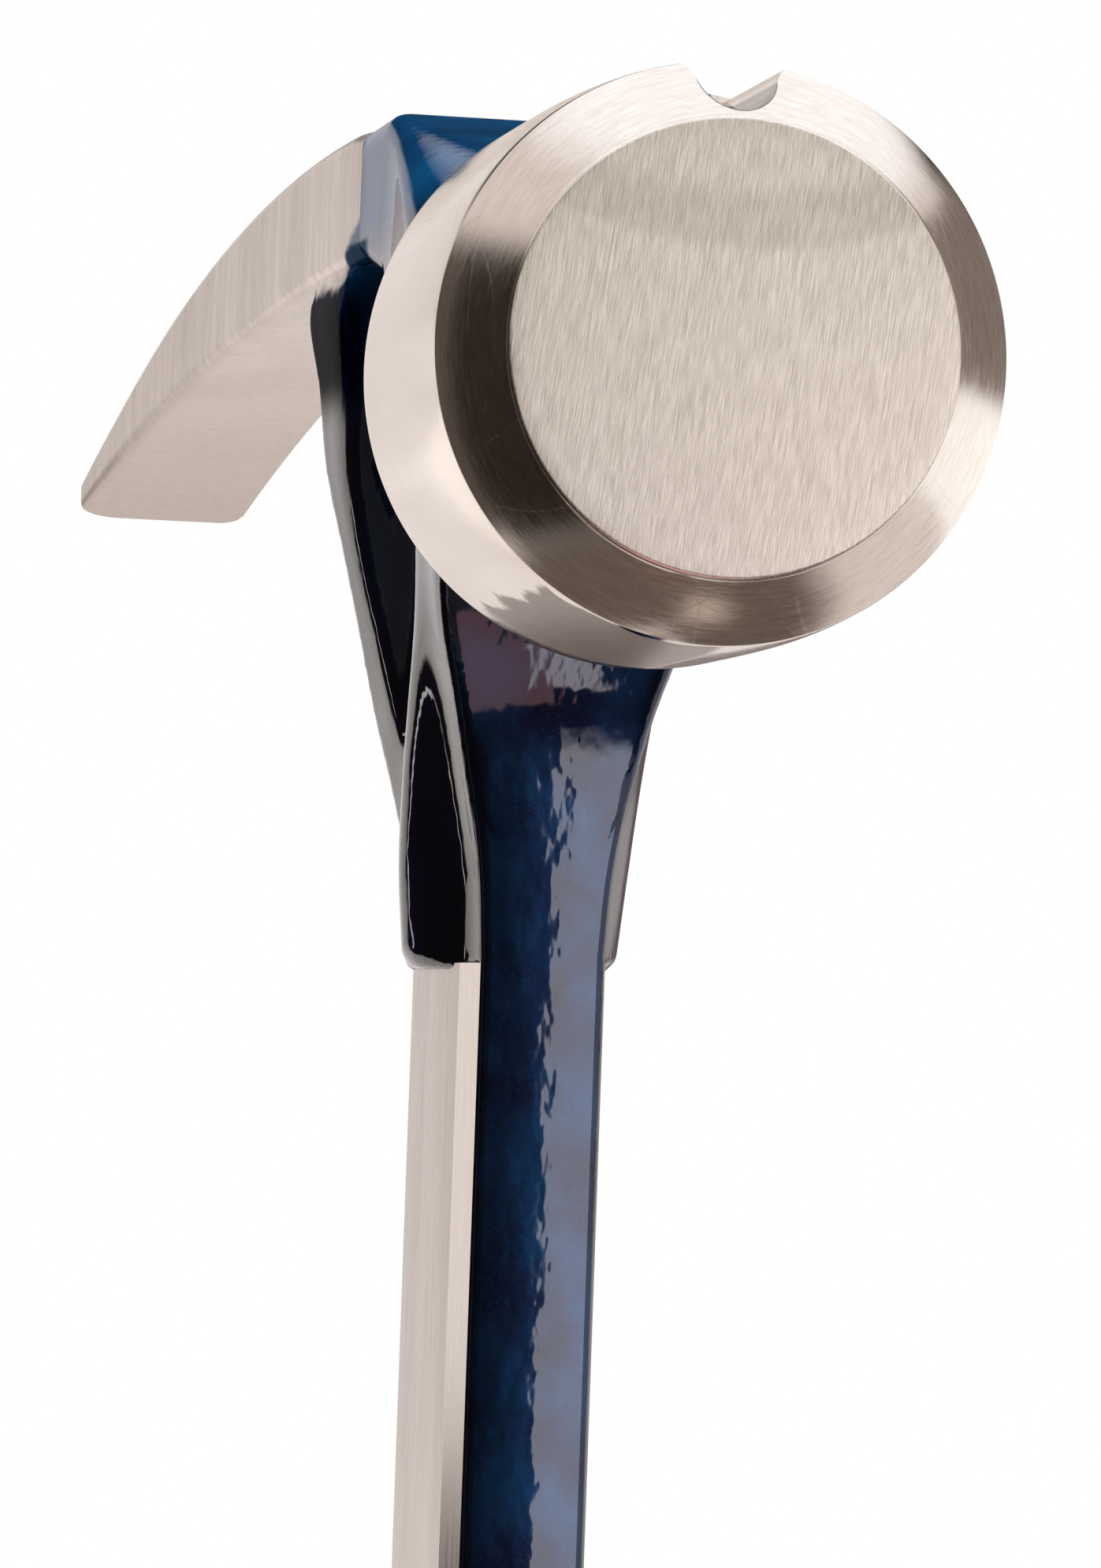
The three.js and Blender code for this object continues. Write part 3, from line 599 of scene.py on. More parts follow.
def pollSteel():
    look, tones = pollFinish, steelTones
    material, shader, place = newMaterial("pollSteel", Metallic=1.0)
    centre = addNode("Mapping", {"Vector": place, "Location": (0, 0, -pollAxis * mm)}).outputs[0]
    where, fromAxis = splitVector(place), splitVector(centre)
    flat = vectorMaths("MULTIPLY", centre, (1, 0, 1))[0]
    radius = vectorMaths("LENGTH", flat)["Value"]
    spoke = splitVector(vectorMaths("NORMALIZE", flat)[0])
    turned = addNode("CombineXYZ", {"X": radius, "Y": spoke["X"], "Z": spoke["Z"]}).outputs[0]
    tilt = (0, math.radians(look["faceTilt"]), 0)
    tilted = addNode("Mapping", {"Vector": centre, "Rotation": tilt}).outputs[0]

    depth = minus(where["Y"], faceY * mm)
    onFace = times(rampMm(radius, look["faceEdge"]), rampMm(depth, look["faceDepth"]))
    offFace = minus(1.0, onFace)
    onChamfer = times(rampMm(depth, look["chamferDepth"]), offFace)
    face = useEffect("grindLines", Vector=tilted, **look["faceLines"])
    chamfer = useEffect("grindLines", Vector=turned, **look["chamferLines"])
    bell = useEffect("grindLines", Vector=centre, **look["bellLines"])
    hair = useEffect("hairlines", Vector=place, **look["scratches"])

    # A darker curved band over the face's upper part: painted reflection
    bend = times(fromAxis["X"], fromAxis["X"], look["reflectionBandBend"])
    rise = minus(fromAxis["Z"], bend)
    reflectionBand = times(rampMm(rise, look["reflectionBandFoot"]), rampMm(rise, look["reflectionBandTop"]))
    # The dark brownish lens under the bell: painted reflection, on steel made rougher and less metallic there
    drift = times(minus(noiseAt(place, look["lensScale"]), 0.5), look["lensWander"] * mm)
    beneath = rampMm(plus(fromAxis["Z"], drift), look["lensTop"])
    alongBell = times(rampMm(plus(depth, drift), look["lensStart"]), rampMm(depth, look["lensEnd"]))
    bellReflectionLens = times(beneath, alongBell, rampMm(fromAxis["X"], look["lensSide"]))

    strokes = ramp(face["Height"], 0.30, 0.70)
    faceColour = mixColours(strokes, tones["faceDark"], tones["faceLight"])
    # the face's colour darkened in that band: painted reflection
    bright = mixColours(1.0, faceColour, tones["faceReflectionShade"], "MULTIPLY")
    faceColour = mixColours(reflectionBand, faceColour, bright)
    bellColour = mixColours(bell["Band"], tones["worn"], tones["polished"])
    bellColour = mixColours(bellReflectionLens, bellColour, tones["bellReflectionBrown"])
    strokes = ramp(chamfer["Height"], 0.3, 0.7)
    chamferColour = mixColours(strokes, tones["worn"], tones["polished"])
    colour = mixColours(onFace, mixColours(onChamfer, bellColour, chamferColour), faceColour)
    # The groove's walls darkened: painted shade
    grooveShade = mixColours(chamfer["Height"], tones["grooveShadeDark"], tones["grooveShadeLight"])
    colour = mixColours(grooveShadeMask(where, depth), colour, grooveShade)

    faceRough = ramp(face["Height"], 0.2, 0.8, *look["faceRough"])
    chamferRough = ramp(chamfer["Height"], 0.2, 0.8, *look["chamferRough"])
    bellRough = plus(ramp(bell["Height"], 0.2, 0.8, *look["bellRough"]), times(bellReflectionLens, look["lensRough"]))
    rough = mixValues(onFace, mixValues(onChamfer, bellRough, chamferRough), faceRough)
    scratches = times(hair["Mask"], offFace)
    hollows = times(minus(noiseAt(place, look["hollowScale"]), 0.5), rampMm(depth, look["hollowStart"]))
    normal = addBumps((times(face["Height"], onFace), look["faceRelief"]), (hollows, look["hollowRelief"]),
                      (times(chamfer["Height"], onChamfer), look["chamferRelief"]),
                      (bell["Height"], look["bellRelief"]))
    setInputs(shader, Base_Color=colour, Normal=normal,
              Metallic=maths("MULTIPLY_ADD", bellReflectionLens, look["lensMetal"], 1.0),
              Roughness=maths("MULTIPLY_ADD", scratches, look["scratchRough"], rough),
              Tangent=startNode(place.id_data, "Tangent", direction_type="RADIAL", axis="Z").outputs[0],
              Anisotropic=times(onFace, look["anisotropy"]))
    return material


satinFinish = {
    "claw": {"Stretch": (1, 1, 0.10), "Scale": 1300.0},
    "flat": {"Stretch": (1, 1, 0.06), "Scale": 2600.0},
    "bandShare": 12,  # the bands are this much broader than the lines
    "rough": (0.24, 0.34), "bevelRough": 0.45,
    "relief": 0.0025,  # millimetres
    "tipReach": (10, clawTipY + 12),  # where the tips' darker tone comes in
    "bevelFacing": (0.05, 0.12),
}


# Belt-ground steel, bare or with the enamel's border on it
def satinSteel(name, ground, tones, painted=True, tipTone=None, bevelHighlightTone=None):
    look = satinFinish
    material, shader, place = newMaterial(name, Coat_Roughness=enamel["coatRoughness"],
                                          Coat_IOR=enamel["coatIndex"])
    lines = useEffect("grindLines", Vector=place, Band_Scale=look[ground]["Scale"] / look["bandShare"],
                      **look[ground])
    steel = mixColours(lines["Band"], steelTones[tones[0]], steelTones[tones[1]])
    rough = ramp(lines["Height"], 0.2, 0.8, *look["rough"])
    if tipTone is not None:
        nearTip = rampMm(splitVector(place)["Y"], look["tipReach"])
        steel = mixColours(nearTip, steel, steelTones[tipTone])
    # The bevels get a lighter tone as painted highlight, and less roughness
    if bevelHighlightTone is not None:
        slanted = ramp(lookingAlongY(place), *look["bevelFacing"])
        steel = mixColours(slanted, steel, steelTones[bevelHighlightTone])
        rough = times(rough, ramp(slanted, 0.0, 1.0, 1.0, look["bevelRough"]))
    if painted:
        share = paintInside(place)
        bareLines = times(lines["Height"], minus(1.0, share))
        normal = addBumps((bareLines, look["relief"]))
        coverWithPaint(shader, place, steel, rough, normal, share)
    else:
        normal = addBumps((lines["Height"], look["relief"]))
        setInputs(shader, Metallic=1.0, Base_Color=steel, Roughness=rough, Normal=normal)
    return material


# Blue metallic enamel

enamel = {
    "deep": (0.0058, 0.0088, 0.033, 1),
    "bright": (0.0062, 0.0300, 0.084, 1),
    "teal": (0.0060, 0.0700, 0.110, 1),
    "litTopDeep": (0.0030, 0.0600, 0.160, 1),  # over the head's top: lighter blue as a painted highlight from above
    "litTopBright": (0.0040, 0.1050, 0.270, 1),
    "edge": (0.10, 0.15, 0.27, 1),  # tint of the flakes at a grazing angle
    "flakeScale": 7200.0,
    "flakeShare": 0.22,
    "waveScale": 430.0,
    "waveStretch": (1, 1, 0.50),
    "waveDepth": 0.070,  # millimetres
    "sideWaves": 0.30,
    "roughness": 0.30,
    "coatIndex": 1.52,
    "coatRoughness": 0.018,
    "litTopCoat": 0.70,
    "litTopMetal": 0.30,
    "pocketShadeCoat": 0.10,
    "litTopHeight": (7, 15),  # millimetres over the poll's centre line
    "pocketFoot": (-0.5, 4.5),
    "pocketTop": (12.6, 12.0),
    "pocketReach": (3.0, 6.0),
    "sparkle": (0.80, 1.0),
    "waveFacing": (0.45, 0.80),
    "coatStep": 0.05,  # millimetres
}


def overAxis(bounds):
    return [pollAxis + bound for bound in bounds]


# How far a surface looks forwards or back, from 0 to 1
def lookingAlongY(place):
    normal = startNode(place.id_data, "TexCoord").outputs["Normal"]
    return maths("ABSOLUTE", splitVector(normal)["Y"])


def enamelLooks(place):
    film = useEffect("paintFlakes", Vector=place, Stretch=enamel["waveStretch"],
                     Flake_Scale=enamel["flakeScale"], Wave_Scale=enamel["waveScale"])
    # The head's top turns a lighter blue: painted highlight
    litTop = rampMm(splitVector(place)["Z"], overAxis(enamel["litTopHeight"]))
    colour = mixColours(film["Cloud"], enamel["deep"], enamel["bright"])
    colour = mixColours(litTop, colour, mixColours(film["Cloud"], enamel["litTopDeep"], enamel["litTopBright"]))
    sparkle = ramp(film["Flake"], *enamel["sparkle"], 0.0, enamel["flakeShare"])
    colour = mixColours(sparkle, colour, enamel["teal"])
    facing = ramp(lookingAlongY(place), *enamel["waveFacing"], enamel["sideWaves"], 1.0)
    rough = ramp(film["Flake"], 0.0, 1.0, enamel["roughness"] - 0.02, enamel["roughness"] + 0.03)
    return colour, litTop, times(film["Wave"], facing), rough


# 1 in the pocket between the neck and the claws' underside, where the coat is weakened and its edge tint
# darkened as painted shade
def pocketShadeMask(place):
    where = splitVector(place)
    return times(rampMm(where["Z"], overAxis(enamel["pocketFoot"])),
                 rampMm(where["Z"], overAxis(enamel["pocketTop"])),
                 rampMm(where["Y"], enamel["pocketReach"]))


def coverWithPaint(shader, place, steel, steelRough, steelNormal, share):
    blue, litTop, waves, paintRough = enamelLooks(place)
    pocket = pocketShadeMask(place)
    # The coat is weaker and the metal less over the head's top, part of its painted highlight, and the coat
    # weaker in the pocket, part of its painted shade
    coat = times(ramp(litTop, 0.0, 1.0, 1.0, enamel["litTopCoat"]),
                 ramp(pocket, 0.0, 1.0, 1.0, enamel["pocketShadeCoat"]))
    # In the pocket the edge tint turns deep blue: painted shade
    edge = mixColours(pocket, enamel["edge"], enamel["deep"])
    normal = addBumps((times(waves, share), enamel["waveDepth"]), (share, enamel["coatStep"]),
                      below=steelNormal)
    setInputs(shader, Base_Color=mixColours(share, steel, blue),
              Metallic=ramp(times(share, litTop), 0.0, 1.0, 1.0, enamel["litTopMetal"]),
              Specular_IOR_Level=ramp(share, 0.0, 1.0, 0.5, 0.0),
              Roughness=mixValues(share, steelRough, paintRough), Coat_Weight=times(share, coat),
              Specular_Tint=mixColours(share, (1, 1, 1, 1), edge), Normal=normal, Coat_Normal=normal)


def blueEnamel():
    material, shader, place = newMaterial(
        "blueEnamel", Coat_Roughness=enamel["coatRoughness"], Coat_IOR=enamel["coatIndex"], Coat_Weight=1.0,
        Metallic=1.0, Specular_Tint=enamel["edge"])
    blue, _, waves, rough = enamelLooks(place)
    normal = addBumps((waves, enamel["waveDepth"]))
    setInputs(shader, Base_Color=blue, Roughness=rough, Normal=normal, Coat_Normal=normal)
    return material


paintBorder = {  # millimetres
    "slant": 4.5, "behindRoot": 1.0, "pocketTop": 12.8,
    "cornerReach": 6.0, "cornerLift": 0.75, "ceiling": 9.9, "neckReach": 25, "cheekReach": 0.2,
    "tear": 2.6, "tearScale": 330.0, "softness": 0.45,
}


# How far inside the enamel's border a point is: the border slants back from the cheek's lower
# corner across the claws' underside, and everything below the claws is enamelled
def paintInside(place):
    border, root = paintBorder, headShape["clawRoot"]
    where = splitVector(place)
    inward = minus(headShape["cheekWidth"] / 2 * mm, maths("ABSOLUTE", where["X"]))
    rear = plus(times(inward, border["slant"]), (root + border["behindRoot"]) * mm)
    pocket = maths("MINIMUM", minus(rear, where["Y"]),
                   minus((pollAxis + border["pocketTop"]) * mm, where["Z"]))
    corner = minus((root + border["cornerReach"]) * mm, where["Y"])
    lift = times(maths("MAXIMUM", corner, 0.0), border["cornerLift"])
    ceiling = plus(lift, (pollAxis + border["ceiling"]) * mm)
    neck = maths("MINIMUM", minus(ceiling, where["Z"]), minus(border["neckReach"] * mm, where["Y"]))
    torn = useEffect("tornEdge", Vector=place, Distance=maths("MAXIMUM", pocket, neck),
                     Tear=border["tear"] * mm, Scale=border["tearScale"], Softness=border["softness"] * mm)
    cheek = minus((root + border["cheekReach"]) * mm, where["Y"])
    return maths("MAXIMUM", torn["Mask"], rampMm(cheek, (0.0, 0.05)))


# The forging's upper part: poll, cheeks, claws and fluted neck

pollShape = {
    "faceRadius": 13.1, "crown": 0.22, "edgeRound": 0.35, "edgeArc": (-68, -6),
    "chamferDepth": 3.7, "chamferEdge": 0.25, "chamferCrown": 0.14,
    "bellRadius": 16.5, "bellSwell": 0.35, "bellLength": 26, "shoulder": 4, "neckRadius": 12.3,
    "stubSink": 1.5, "stubLength": 5.5, "stubEnd": 13.5,  # the neck goes on inside the cheeks
    "spinSteps": 240,
}


# The poll's outline from the middle of the face outwards and back to the axis
def pollWire():
    shape = pollShape
    crown, edge, corner = shape["crown"], shape["edgeRound"], shape["chamferEdge"]
    bell, chamferDepth, shoulder = shape["bellRadius"], shape["chamferDepth"], shape["shoulder"]
    faceHalf = shape["faceRadius"] - edge
    points = [(faceHalf * share, crown * share ** 2) for share in evenShares(14)]
    points += arcPoints((faceHalf, crown + edge), edge, *shape["edgeArc"], 4)
    slope = math.atan2(chamferDepth - crown - edge, bell - shape["faceRadius"])
    cosine, sine = math.cos(slope), math.sin(slope)
    low, high = points[-1], (bell - corner * cosine, chamferDepth - corner * sine)
    for share in evenShares(6)[1:-1]:
        bulge = shape["chamferCrown"] * 4 * share * (1 - share)
        points.append((mixNumbers(low[0], high[0], share) + bulge * sine,
                       mixNumbers(low[1], high[1], share) - bulge * cosine))
    points += [high, (bell - corner * 0.12, chamferDepth + corner * 0.12),
               (bell + corner * 0.05, chamferDepth + corner)]
    shoulderStart = shape["bellLength"] - shoulder / 2
    for share in evenShares(24)[1:]:
        points.append((bell + shape["bellSwell"] * (1 - (1 - share) ** 5),
                       mixNumbers(chamferDepth + corner, shoulderStart, share)))
    top = bell + shape["bellSwell"]
    drop = (top - shape["neckRadius"]) / 2
    turns = quarterTurns(12)[1:]
    points += [(top - drop * (1 - math.cos(turn)), shoulderStart + shoulder * math.sin(turn))
               for turn in turns]
    points += [(top - drop - drop * math.sin(turn), shoulderStart + shoulder * (2 - math.cos(turn)))
               for turn in turns]
    end = shoulderStart + shoulder * 2 + 3
    points += [(shape["neckRadius"] - 0.3, end), (0, end)]
    return [(radius, faceY + depth, pollAxis) for radius, depth in points]


grooveShape = {
    "floorRadius": 13.4, "bottomRadius": 2.35, "length": 19.5, "flareDegrees": 68,
    "lips": ((2.42, 2.05), (2.68, 2.55), (3.10, 2.90), (3.75, 3.15), (5.2, 3.6)),
    "magnetRadius": 1.6, "magnetClearance": 0.3, "magnetPlace": 14.5, "boreLength": 8, "boreRise": 0.4,
}


def grooveOutline():
    floor, bottom, flare = [grooveShape[key] for key in ("floorRadius", "bottomRadius", "flareDegrees")]
    lips = [(half, floor + rise) for half, rise in grooveShape["lips"]]
    return (arcPoints((0, floor + bottom), bottom, -90 - flare, -90 + flare, 24) + lips
            + [(-half, rise) for half, rise in reversed(lips)])


def makePoll():
    groove = grooveShape
    poll = spinSkin("steelPoll", pollWire(), (0, faceY, pollAxis), (0, 1, 0), pollShape["spinSteps"])
    outline = grooveOutline()
    rings = [[(x, faceY + depth, pollAxis + z) for x, z in outline] for depth in (-2, groove["length"])]
    cutWith(poll, loftSkin("grooveCutter", rings))
    seat = (0, faceY + groove["magnetPlace"], pollAxis + groove["floorRadius"] + groove["boreRise"])
    boreRadius = groove["magnetRadius"] + groove["magnetClearance"]
    cutWith(poll, cylinderPiece("magnetBore", boreRadius, groove["boreLength"], seat))
    finishPiece(poll, pollSteel(), "forged_body", "forged_steel", 24)
    print("poll ready")


headShape = {
    "cheekWidth": 20, "topFront": 0.65, "topLength": 8, "edgeRound": 1.4, "rearBottom": 11.2,
    "frontBottomShare": 0.9, "insetShare": 0.97, "roundShare": 0.9,
    "clawRoot": 7.35, "tipWidth": 34.96, "clawTopRadius": 185, "clawTopStart": 4.35,
    "underRise": 2.15, "underDish": 0.9, "tipDrop": 0.6, "tipRound": 3.4, "clawEdge": 1.0,
    "slotTip": 10.2, "slotRoot": 3, "slotLength": 57, "slotBevel": 1.5, "tipInnerRound": 1.6,
    "cutOver": 2, "tipCutHeights": (-3, 18),  # cutters stand out past the surface
}
blockStart = pollShape["bellLength"] + 1.5 * pollShape["shoulder"] + faceY


def blockRing(place, half, top, bottom, topRound, bottomRound, dish):
    ring = []
    cornerSteps = 8
    for x, z, corner, start in ((half, bottom, bottomRound, -90), (half, top, topRound, 0),
                                (-half, top, topRound, 90), (-half, bottom, bottomRound, 180)):
        centre = (x - math.copysign(corner, x), z - corner if z == top else z + corner)
        for px, pz in arcPoints(centre, corner, start, start + 90, cornerSteps):
            ring.append((px, place, pollAxis + pz))
    for step in range(1, 12):
        share = step / 6 - 1
        ring.append(((half - bottomRound) * share, place, pollAxis + bottom + dish * (1 - share ** 2)))
    return ring


# From 0 at the claws' root to 1 at their tips
def alongClaw(reach):
    return (reach - headShape["clawRoot"]) / (clawTipY - headShape["clawRoot"])


def clawHalf(reach):
    return mixNumbers(headShape["cheekWidth"], headShape["tipWidth"], max(0, alongClaw(reach))) / 2


def clawTop(reach):
    past = max(0, reach - headShape["clawTopStart"])
    return headRise - headShape["clawTopRadius"] + math.sqrt(headShape["clawTopRadius"] ** 2 - past ** 2)


def clawUnder(reach):
    share = alongClaw(reach)
    straight = mixNumbers(headShape["rearBottom"], -headShape["tipDrop"], share)
    return straight + headShape["underRise"] * 4 * share * (1 - share)


def cheekRings():
    shape = headShape
    end = shape["topFront"] - shape["topLength"] / 4
    inset = pollShape["neckRadius"] * shape["insetShare"]
    rings = []
    for share in evenShares(40):
        corner = mixNumbers(inset * shape["roundShare"], shape["edgeRound"], easeShare(share))
        half = mixNumbers(inset, shape["cheekWidth"] / 2, easeShare(share))
        bottom = mixNumbers(-inset, shape["rearBottom"], share ** 2 * shape["frontBottomShare"])
        rings.append(blockRing(mixNumbers(blockStart, end, share), half, mixNumbers(inset, headRise, share),
                               bottom, corner, corner, 0))
    return rings


# Claw sections from their root to a reach, swollen or shrunk by a skin that may change on the way
def clawRings(end, steps, skinAt):
    shape = headShape
    rings = []
    for share in evenShares(steps):
        reach = mixNumbers(shape["clawRoot"], end, share)
        skin, whole = skinAt(reach), alongClaw(reach)
        corner = min(shape["clawEdge"], (clawTop(reach) - clawUnder(reach)) / 4)
        topRound = mixNumbers(shape["edgeRound"], corner, easeShare((reach - shape["clawRoot"]) / 3))
        dish = shape["underDish"] * min(1, whole * 4) * (1 - whole)
        rings.append(blockRing(reach, clawHalf(reach) + skin, clawTop(reach) + skin, clawUnder(reach) - skin,
                               topRound + skin, corner + skin, dish))
    return rings


# Sections of the neck from tongue end to head. Rise is a share of its height, halves are shares
# of half the cheek's width, and places are shares of the shank's depth behind its front.
neckKeys = ("rise", "frontHalf", "front", "hollowHalf", "hollow", "ridgeHalf", "ridge",
            "fluteHalf", "flute", "flangeHalf", "flange", "rearHalf", "rear")
neckShares = [dict(zip(neckKeys, row)) for row in (
    (0.000, 0.39, 0.000, 0.41, 0.15, 0.68, 0.47, 0.55, 0.72, 0.39, 0.900, 0.39, 1.000),
    (0.120, 0.43, -0.010, 0.445, 0.15, 0.73, 0.45, 0.58, 0.72, 0.47, 0.890, 0.47, 1.000),
    (0.240, 0.54, -0.030, 0.545, 0.12, 0.76, 0.39, 0.57, 0.70, 0.565, 0.860, 0.60, 1.002),
    (0.337, 0.64, -0.070, 0.640, 0.07, 0.78, 0.32, 0.55, 0.66, 0.665, 0.790, 0.72, 1.006),
    (0.444, 0.78, -0.160, 0.78, 0.03, 0.80, 0.24, 0.54, 0.62, 0.775, 0.795, 0.83, 1.015),
    (0.554, 0.88, -0.300, 0.87, -0.05, 0.84, 0.18, 0.54, 0.60, 0.885, 0.830, 0.94, 1.040),
    (0.684, 0.94, -0.380, 0.94, -0.15, 0.90, 0.12, 0.56, 0.60, 0.980, 0.840, 1.05, 1.120),
    (0.813, 0.94, -0.350, 0.95, -0.16, 0.95, 0.10, 0.60, 0.62, 0.995, 0.880, 1.08, 1.230),
    (0.924, 0.92, -0.200, 0.95, -0.08, 0.95, 0.12, 0.64, 0.70, 0.990, 0.960, 1.09, 1.390),
    (1.000, 0.90, -0.100, 0.92, 0.00, 0.93, 0.16, 0.72, 0.70, 0.930, 1.000, 0.98, 1.300),
)]

neckShape = {
    "tongueDrop": 33.5, "top": 12.5, "tongueThickness": 13.6, "endBevel": 1, "endShare": 0.85,
    "cornerRound": 0.8, "frontCrown": 0.22, "rings": 110, "sideSteps": 54, "frontSteps": 10,
    "shoulder": 1.2, "shoulderLean": 0.05,
}

shankShape = {
    "depth": 24, "thickness": 9.3, "edgeThickness": 7.8, "bevelLength": 4.1,
    "taperDrop": 85, "depthAtGrip": 21.5, "thicknessAtGrip": 8.7,
}
tongueEnd = pollAxis - neckShape["tongueDrop"]
neckHeight = neckShape["tongueDrop"] + neckShape["top"]


def neckSharesAt(rise):
    last = len(neckShares) - 1
    row = 0
    while row < last - 1 and neckShares[row + 1]["rise"] < rise:
        row += 1
    before, start = neckShares[max(0, row - 1)], neckShares[row]
    end, after = neckShares[row + 1], neckShares[min(last, row + 2)]
    run = end["rise"] - start["rise"]
    found = {}
    for key in start:
        slopeFrom = (end[key] - before[key]) / (end["rise"] - before["rise"]) * run
        slopeTo = (after[key] - start[key]) / (after["rise"] - start["rise"]) * run
        found[key] = smoothBetween(start[key], end[key], slopeFrom, slopeTo, (rise - start["rise"]) / run)
    return found


def crownedLine(half, place, crown, steps):
    shares = [2 * share - 1 for share in evenShares(steps)]
    return [(-half * share, place + crown * share ** 2) for share in shares]


def neckRing(shares, height, grown):
    corner, crown = neckShape["cornerRound"], neckShape["frontCrown"]
    forms = ("front", "hollow", "ridge", "flute", "flange", "rear")
    half = {form: headShape["cheekWidth"] / 2 * shares[form + "Half"] for form in forms}
    depth = {form: shankShape["depth"] * (shares[form] - 0.5) for form in forms}
    half["ridge"] *= grown
    frontInner, rearInner = half["front"] - corner, half["rear"] - corner
    roundEnd = depth["front"] + corner + crown
    side = [(half["front"], roundEnd),
            (half["front"] + neckShape["shoulderLean"], roundEnd + neckShape["shoulder"]),
            *[(half[form], depth[form]) for form in forms[1:-1]], (half["rear"], depth["rear"] - corner)]
    side = [Vector((*point, 0)) for point in side]
    sideLine = [curvePoint(side, share) for share in evenShares(neckShape["sideSteps"])]
    frontLine = crownedLine(frontInner, depth["front"], crown, neckShape["frontSteps"])
    frontRound = arcPoints((frontInner, depth["front"] + crown + corner), corner, -90, 0, 6)[1:-1]
    rearRound = arcPoints((rearInner, depth["rear"] - corner), corner, 0, 90, 6)[1:-1]
    outline = [*frontRound, *[(p.x, p.y) for p in sideLine], *rearRound]
    ring = [*reversed(frontLine), *outline, *[(x, depth["rear"]) for x in (rearInner, 0, -rearInner)],
            *[(-x, y) for x, y in reversed(outline)]]
    return [(x, y, height) for x, y in ring]


def neckRings():
    shape, foot = neckShape, neckShares[0]
    ridgeGrown = shape["tongueThickness"] / (headShape["cheekWidth"] * foot["ridgeHalf"])
    endShares = {**foot, "ridgeHalf": foot["ridgeHalf"] * shape["endShare"]}
    rings = [neckRing(endShares, tongueEnd - shape["endBevel"], ridgeGrown)]
    for rise in evenShares(shape["rings"]):
        height = tongueEnd + neckHeight * rise
        rings.append(neckRing(neckSharesAt(rise), height, mixNumbers(ridgeGrown, 1, rise)))
    return rings


def pollStubWire():
    radius, start = pollShape["neckRadius"], blockStart - pollShape["stubSink"]
    bend, end = start + pollShape["stubLength"], start + pollShape["stubEnd"]
    points = [(0, start), (radius, start), (radius, bend), (radius / 2, end), (0, end)]
    return [(r, y, pollAxis) for r, y in points]


def slotCutters():
    shape, over = headShape, headShape["cutOver"]
    root = clawTipY - shape["slotLength"]
    slope = (shape["slotTip"] - shape["slotRoot"]) / 2 / shape["slotLength"]
    tipHalf = shape["slotTip"] / 2 + slope * over
    outline = [(tipHalf, clawTipY + over), (-tipHalf, clawTipY + over),
               *arcPoints((0, root), shape["slotRoot"] / 2, 180, 360, 24)]
    rings = [[(x, y, pollAxis + z) for x, y in outline] for z in (-over - 1, headRise + over)]
    slotCutter = loftSkin("slotCutter", rings)
    bevelRings = []
    for share in evenShares(60):
        reach = mixNumbers(root, clawTipY + over, share)
        half = shape["slotRoot"] / 2 + slope * (reach - root)
        top = clawTop(reach)
        deep = min(shape["slotBevel"], (top - clawUnder(min(reach, clawTipY))) / 3)
        bevelRings.append([(x, reach, pollAxis + z) for x, z in (
            (half - deep, top - 2 * deep), (half + deep + over, top + 2 * over),
            (-half - deep - over, top + 2 * over), (-half + deep, top - 2 * deep))])
    return [slotCutter, loftSkin("slotBevelCutter", bevelRings)]


def tipCutters():
    shape, over = headShape, headShape["cutOver"]
    cutters = []
    for side in (-1, 1):
        for edge, corner, outward in ((shape["tipWidth"] / 2, shape["tipRound"], 1),
                                      (shape["slotTip"] / 2, shape["tipInnerRound"], -1)):
            centre, past = edge - outward * corner, edge + outward * over
            outline = [(past, clawTipY - corner), (past, clawTipY + over), (centre, clawTipY + over)]
            outline += [(centre + outward * x, clawTipY - corner + y)
                        for x, y in arcPoints((0, 0), corner, 90, 0, 20)]
            rings = [[(side * x, y, pollAxis + z) for x, y in outline] for z in shape["tipCutHeights"]]
            cutters.append(loftSkin("tipCutter", rings))
    return cutters


# Lets every vertex that lies in a hollow move out towards its neighbours, so creases fill to fillets
# and edges stay
def fillHollows(piece, rounds, pace):
    mesh = piece.data
    count = len(mesh.vertices)
    ends = numpy.empty(len(mesh.edges) * 2, dtype=numpy.int32)
    mesh.edges.foreach_get("vertices", ends)
    ends = ends.reshape(-1, 2)
    degree = numpy.bincount(ends.ravel(), minlength=count)
    places = numpy.empty(count * 3)
    normals = numpy.empty(count * 3)
    mesh.vertices.foreach_get("co", places)
    places = places.reshape(-1, 3)
    for _ in range(rounds):
        mesh.vertex_normals.foreach_get("vector", normals)
        outward = -places.copy()
        for axis in range(3):
            along = places[:, axis]
            total = numpy.bincount(ends[:, 0], along[ends[:, 1]], count)
            total += numpy.bincount(ends[:, 1], along[ends[:, 0]], count)
            outward[:, axis] += total / degree
        facing = normals.reshape(-1, 3)
        reach = numpy.clip((outward * facing).sum(axis=1), 0, None) * pace
        places += reach[:, None] * facing
        mesh.vertices.foreach_set("co", places.ravel())
        mesh.update()


headFinish = {  # millimetres
    "voxel": 0.36,
    "hollowRounds": 40,
    "hollowPace": 0.6,
    "evenRounds": 2,
    "evenFactor": 0.5,
    "clawEnd": 30,
    "sinkDepth": -0.25, "sinkStart": 8.3, "sinkLength": 0.8,  # the block's own claws lie a little deeper
    "skinOver": 0.10, "skinUnder": -0.06, "skinStart": 9.3, "skinLength": 1.2,  # room for the bare claws
}


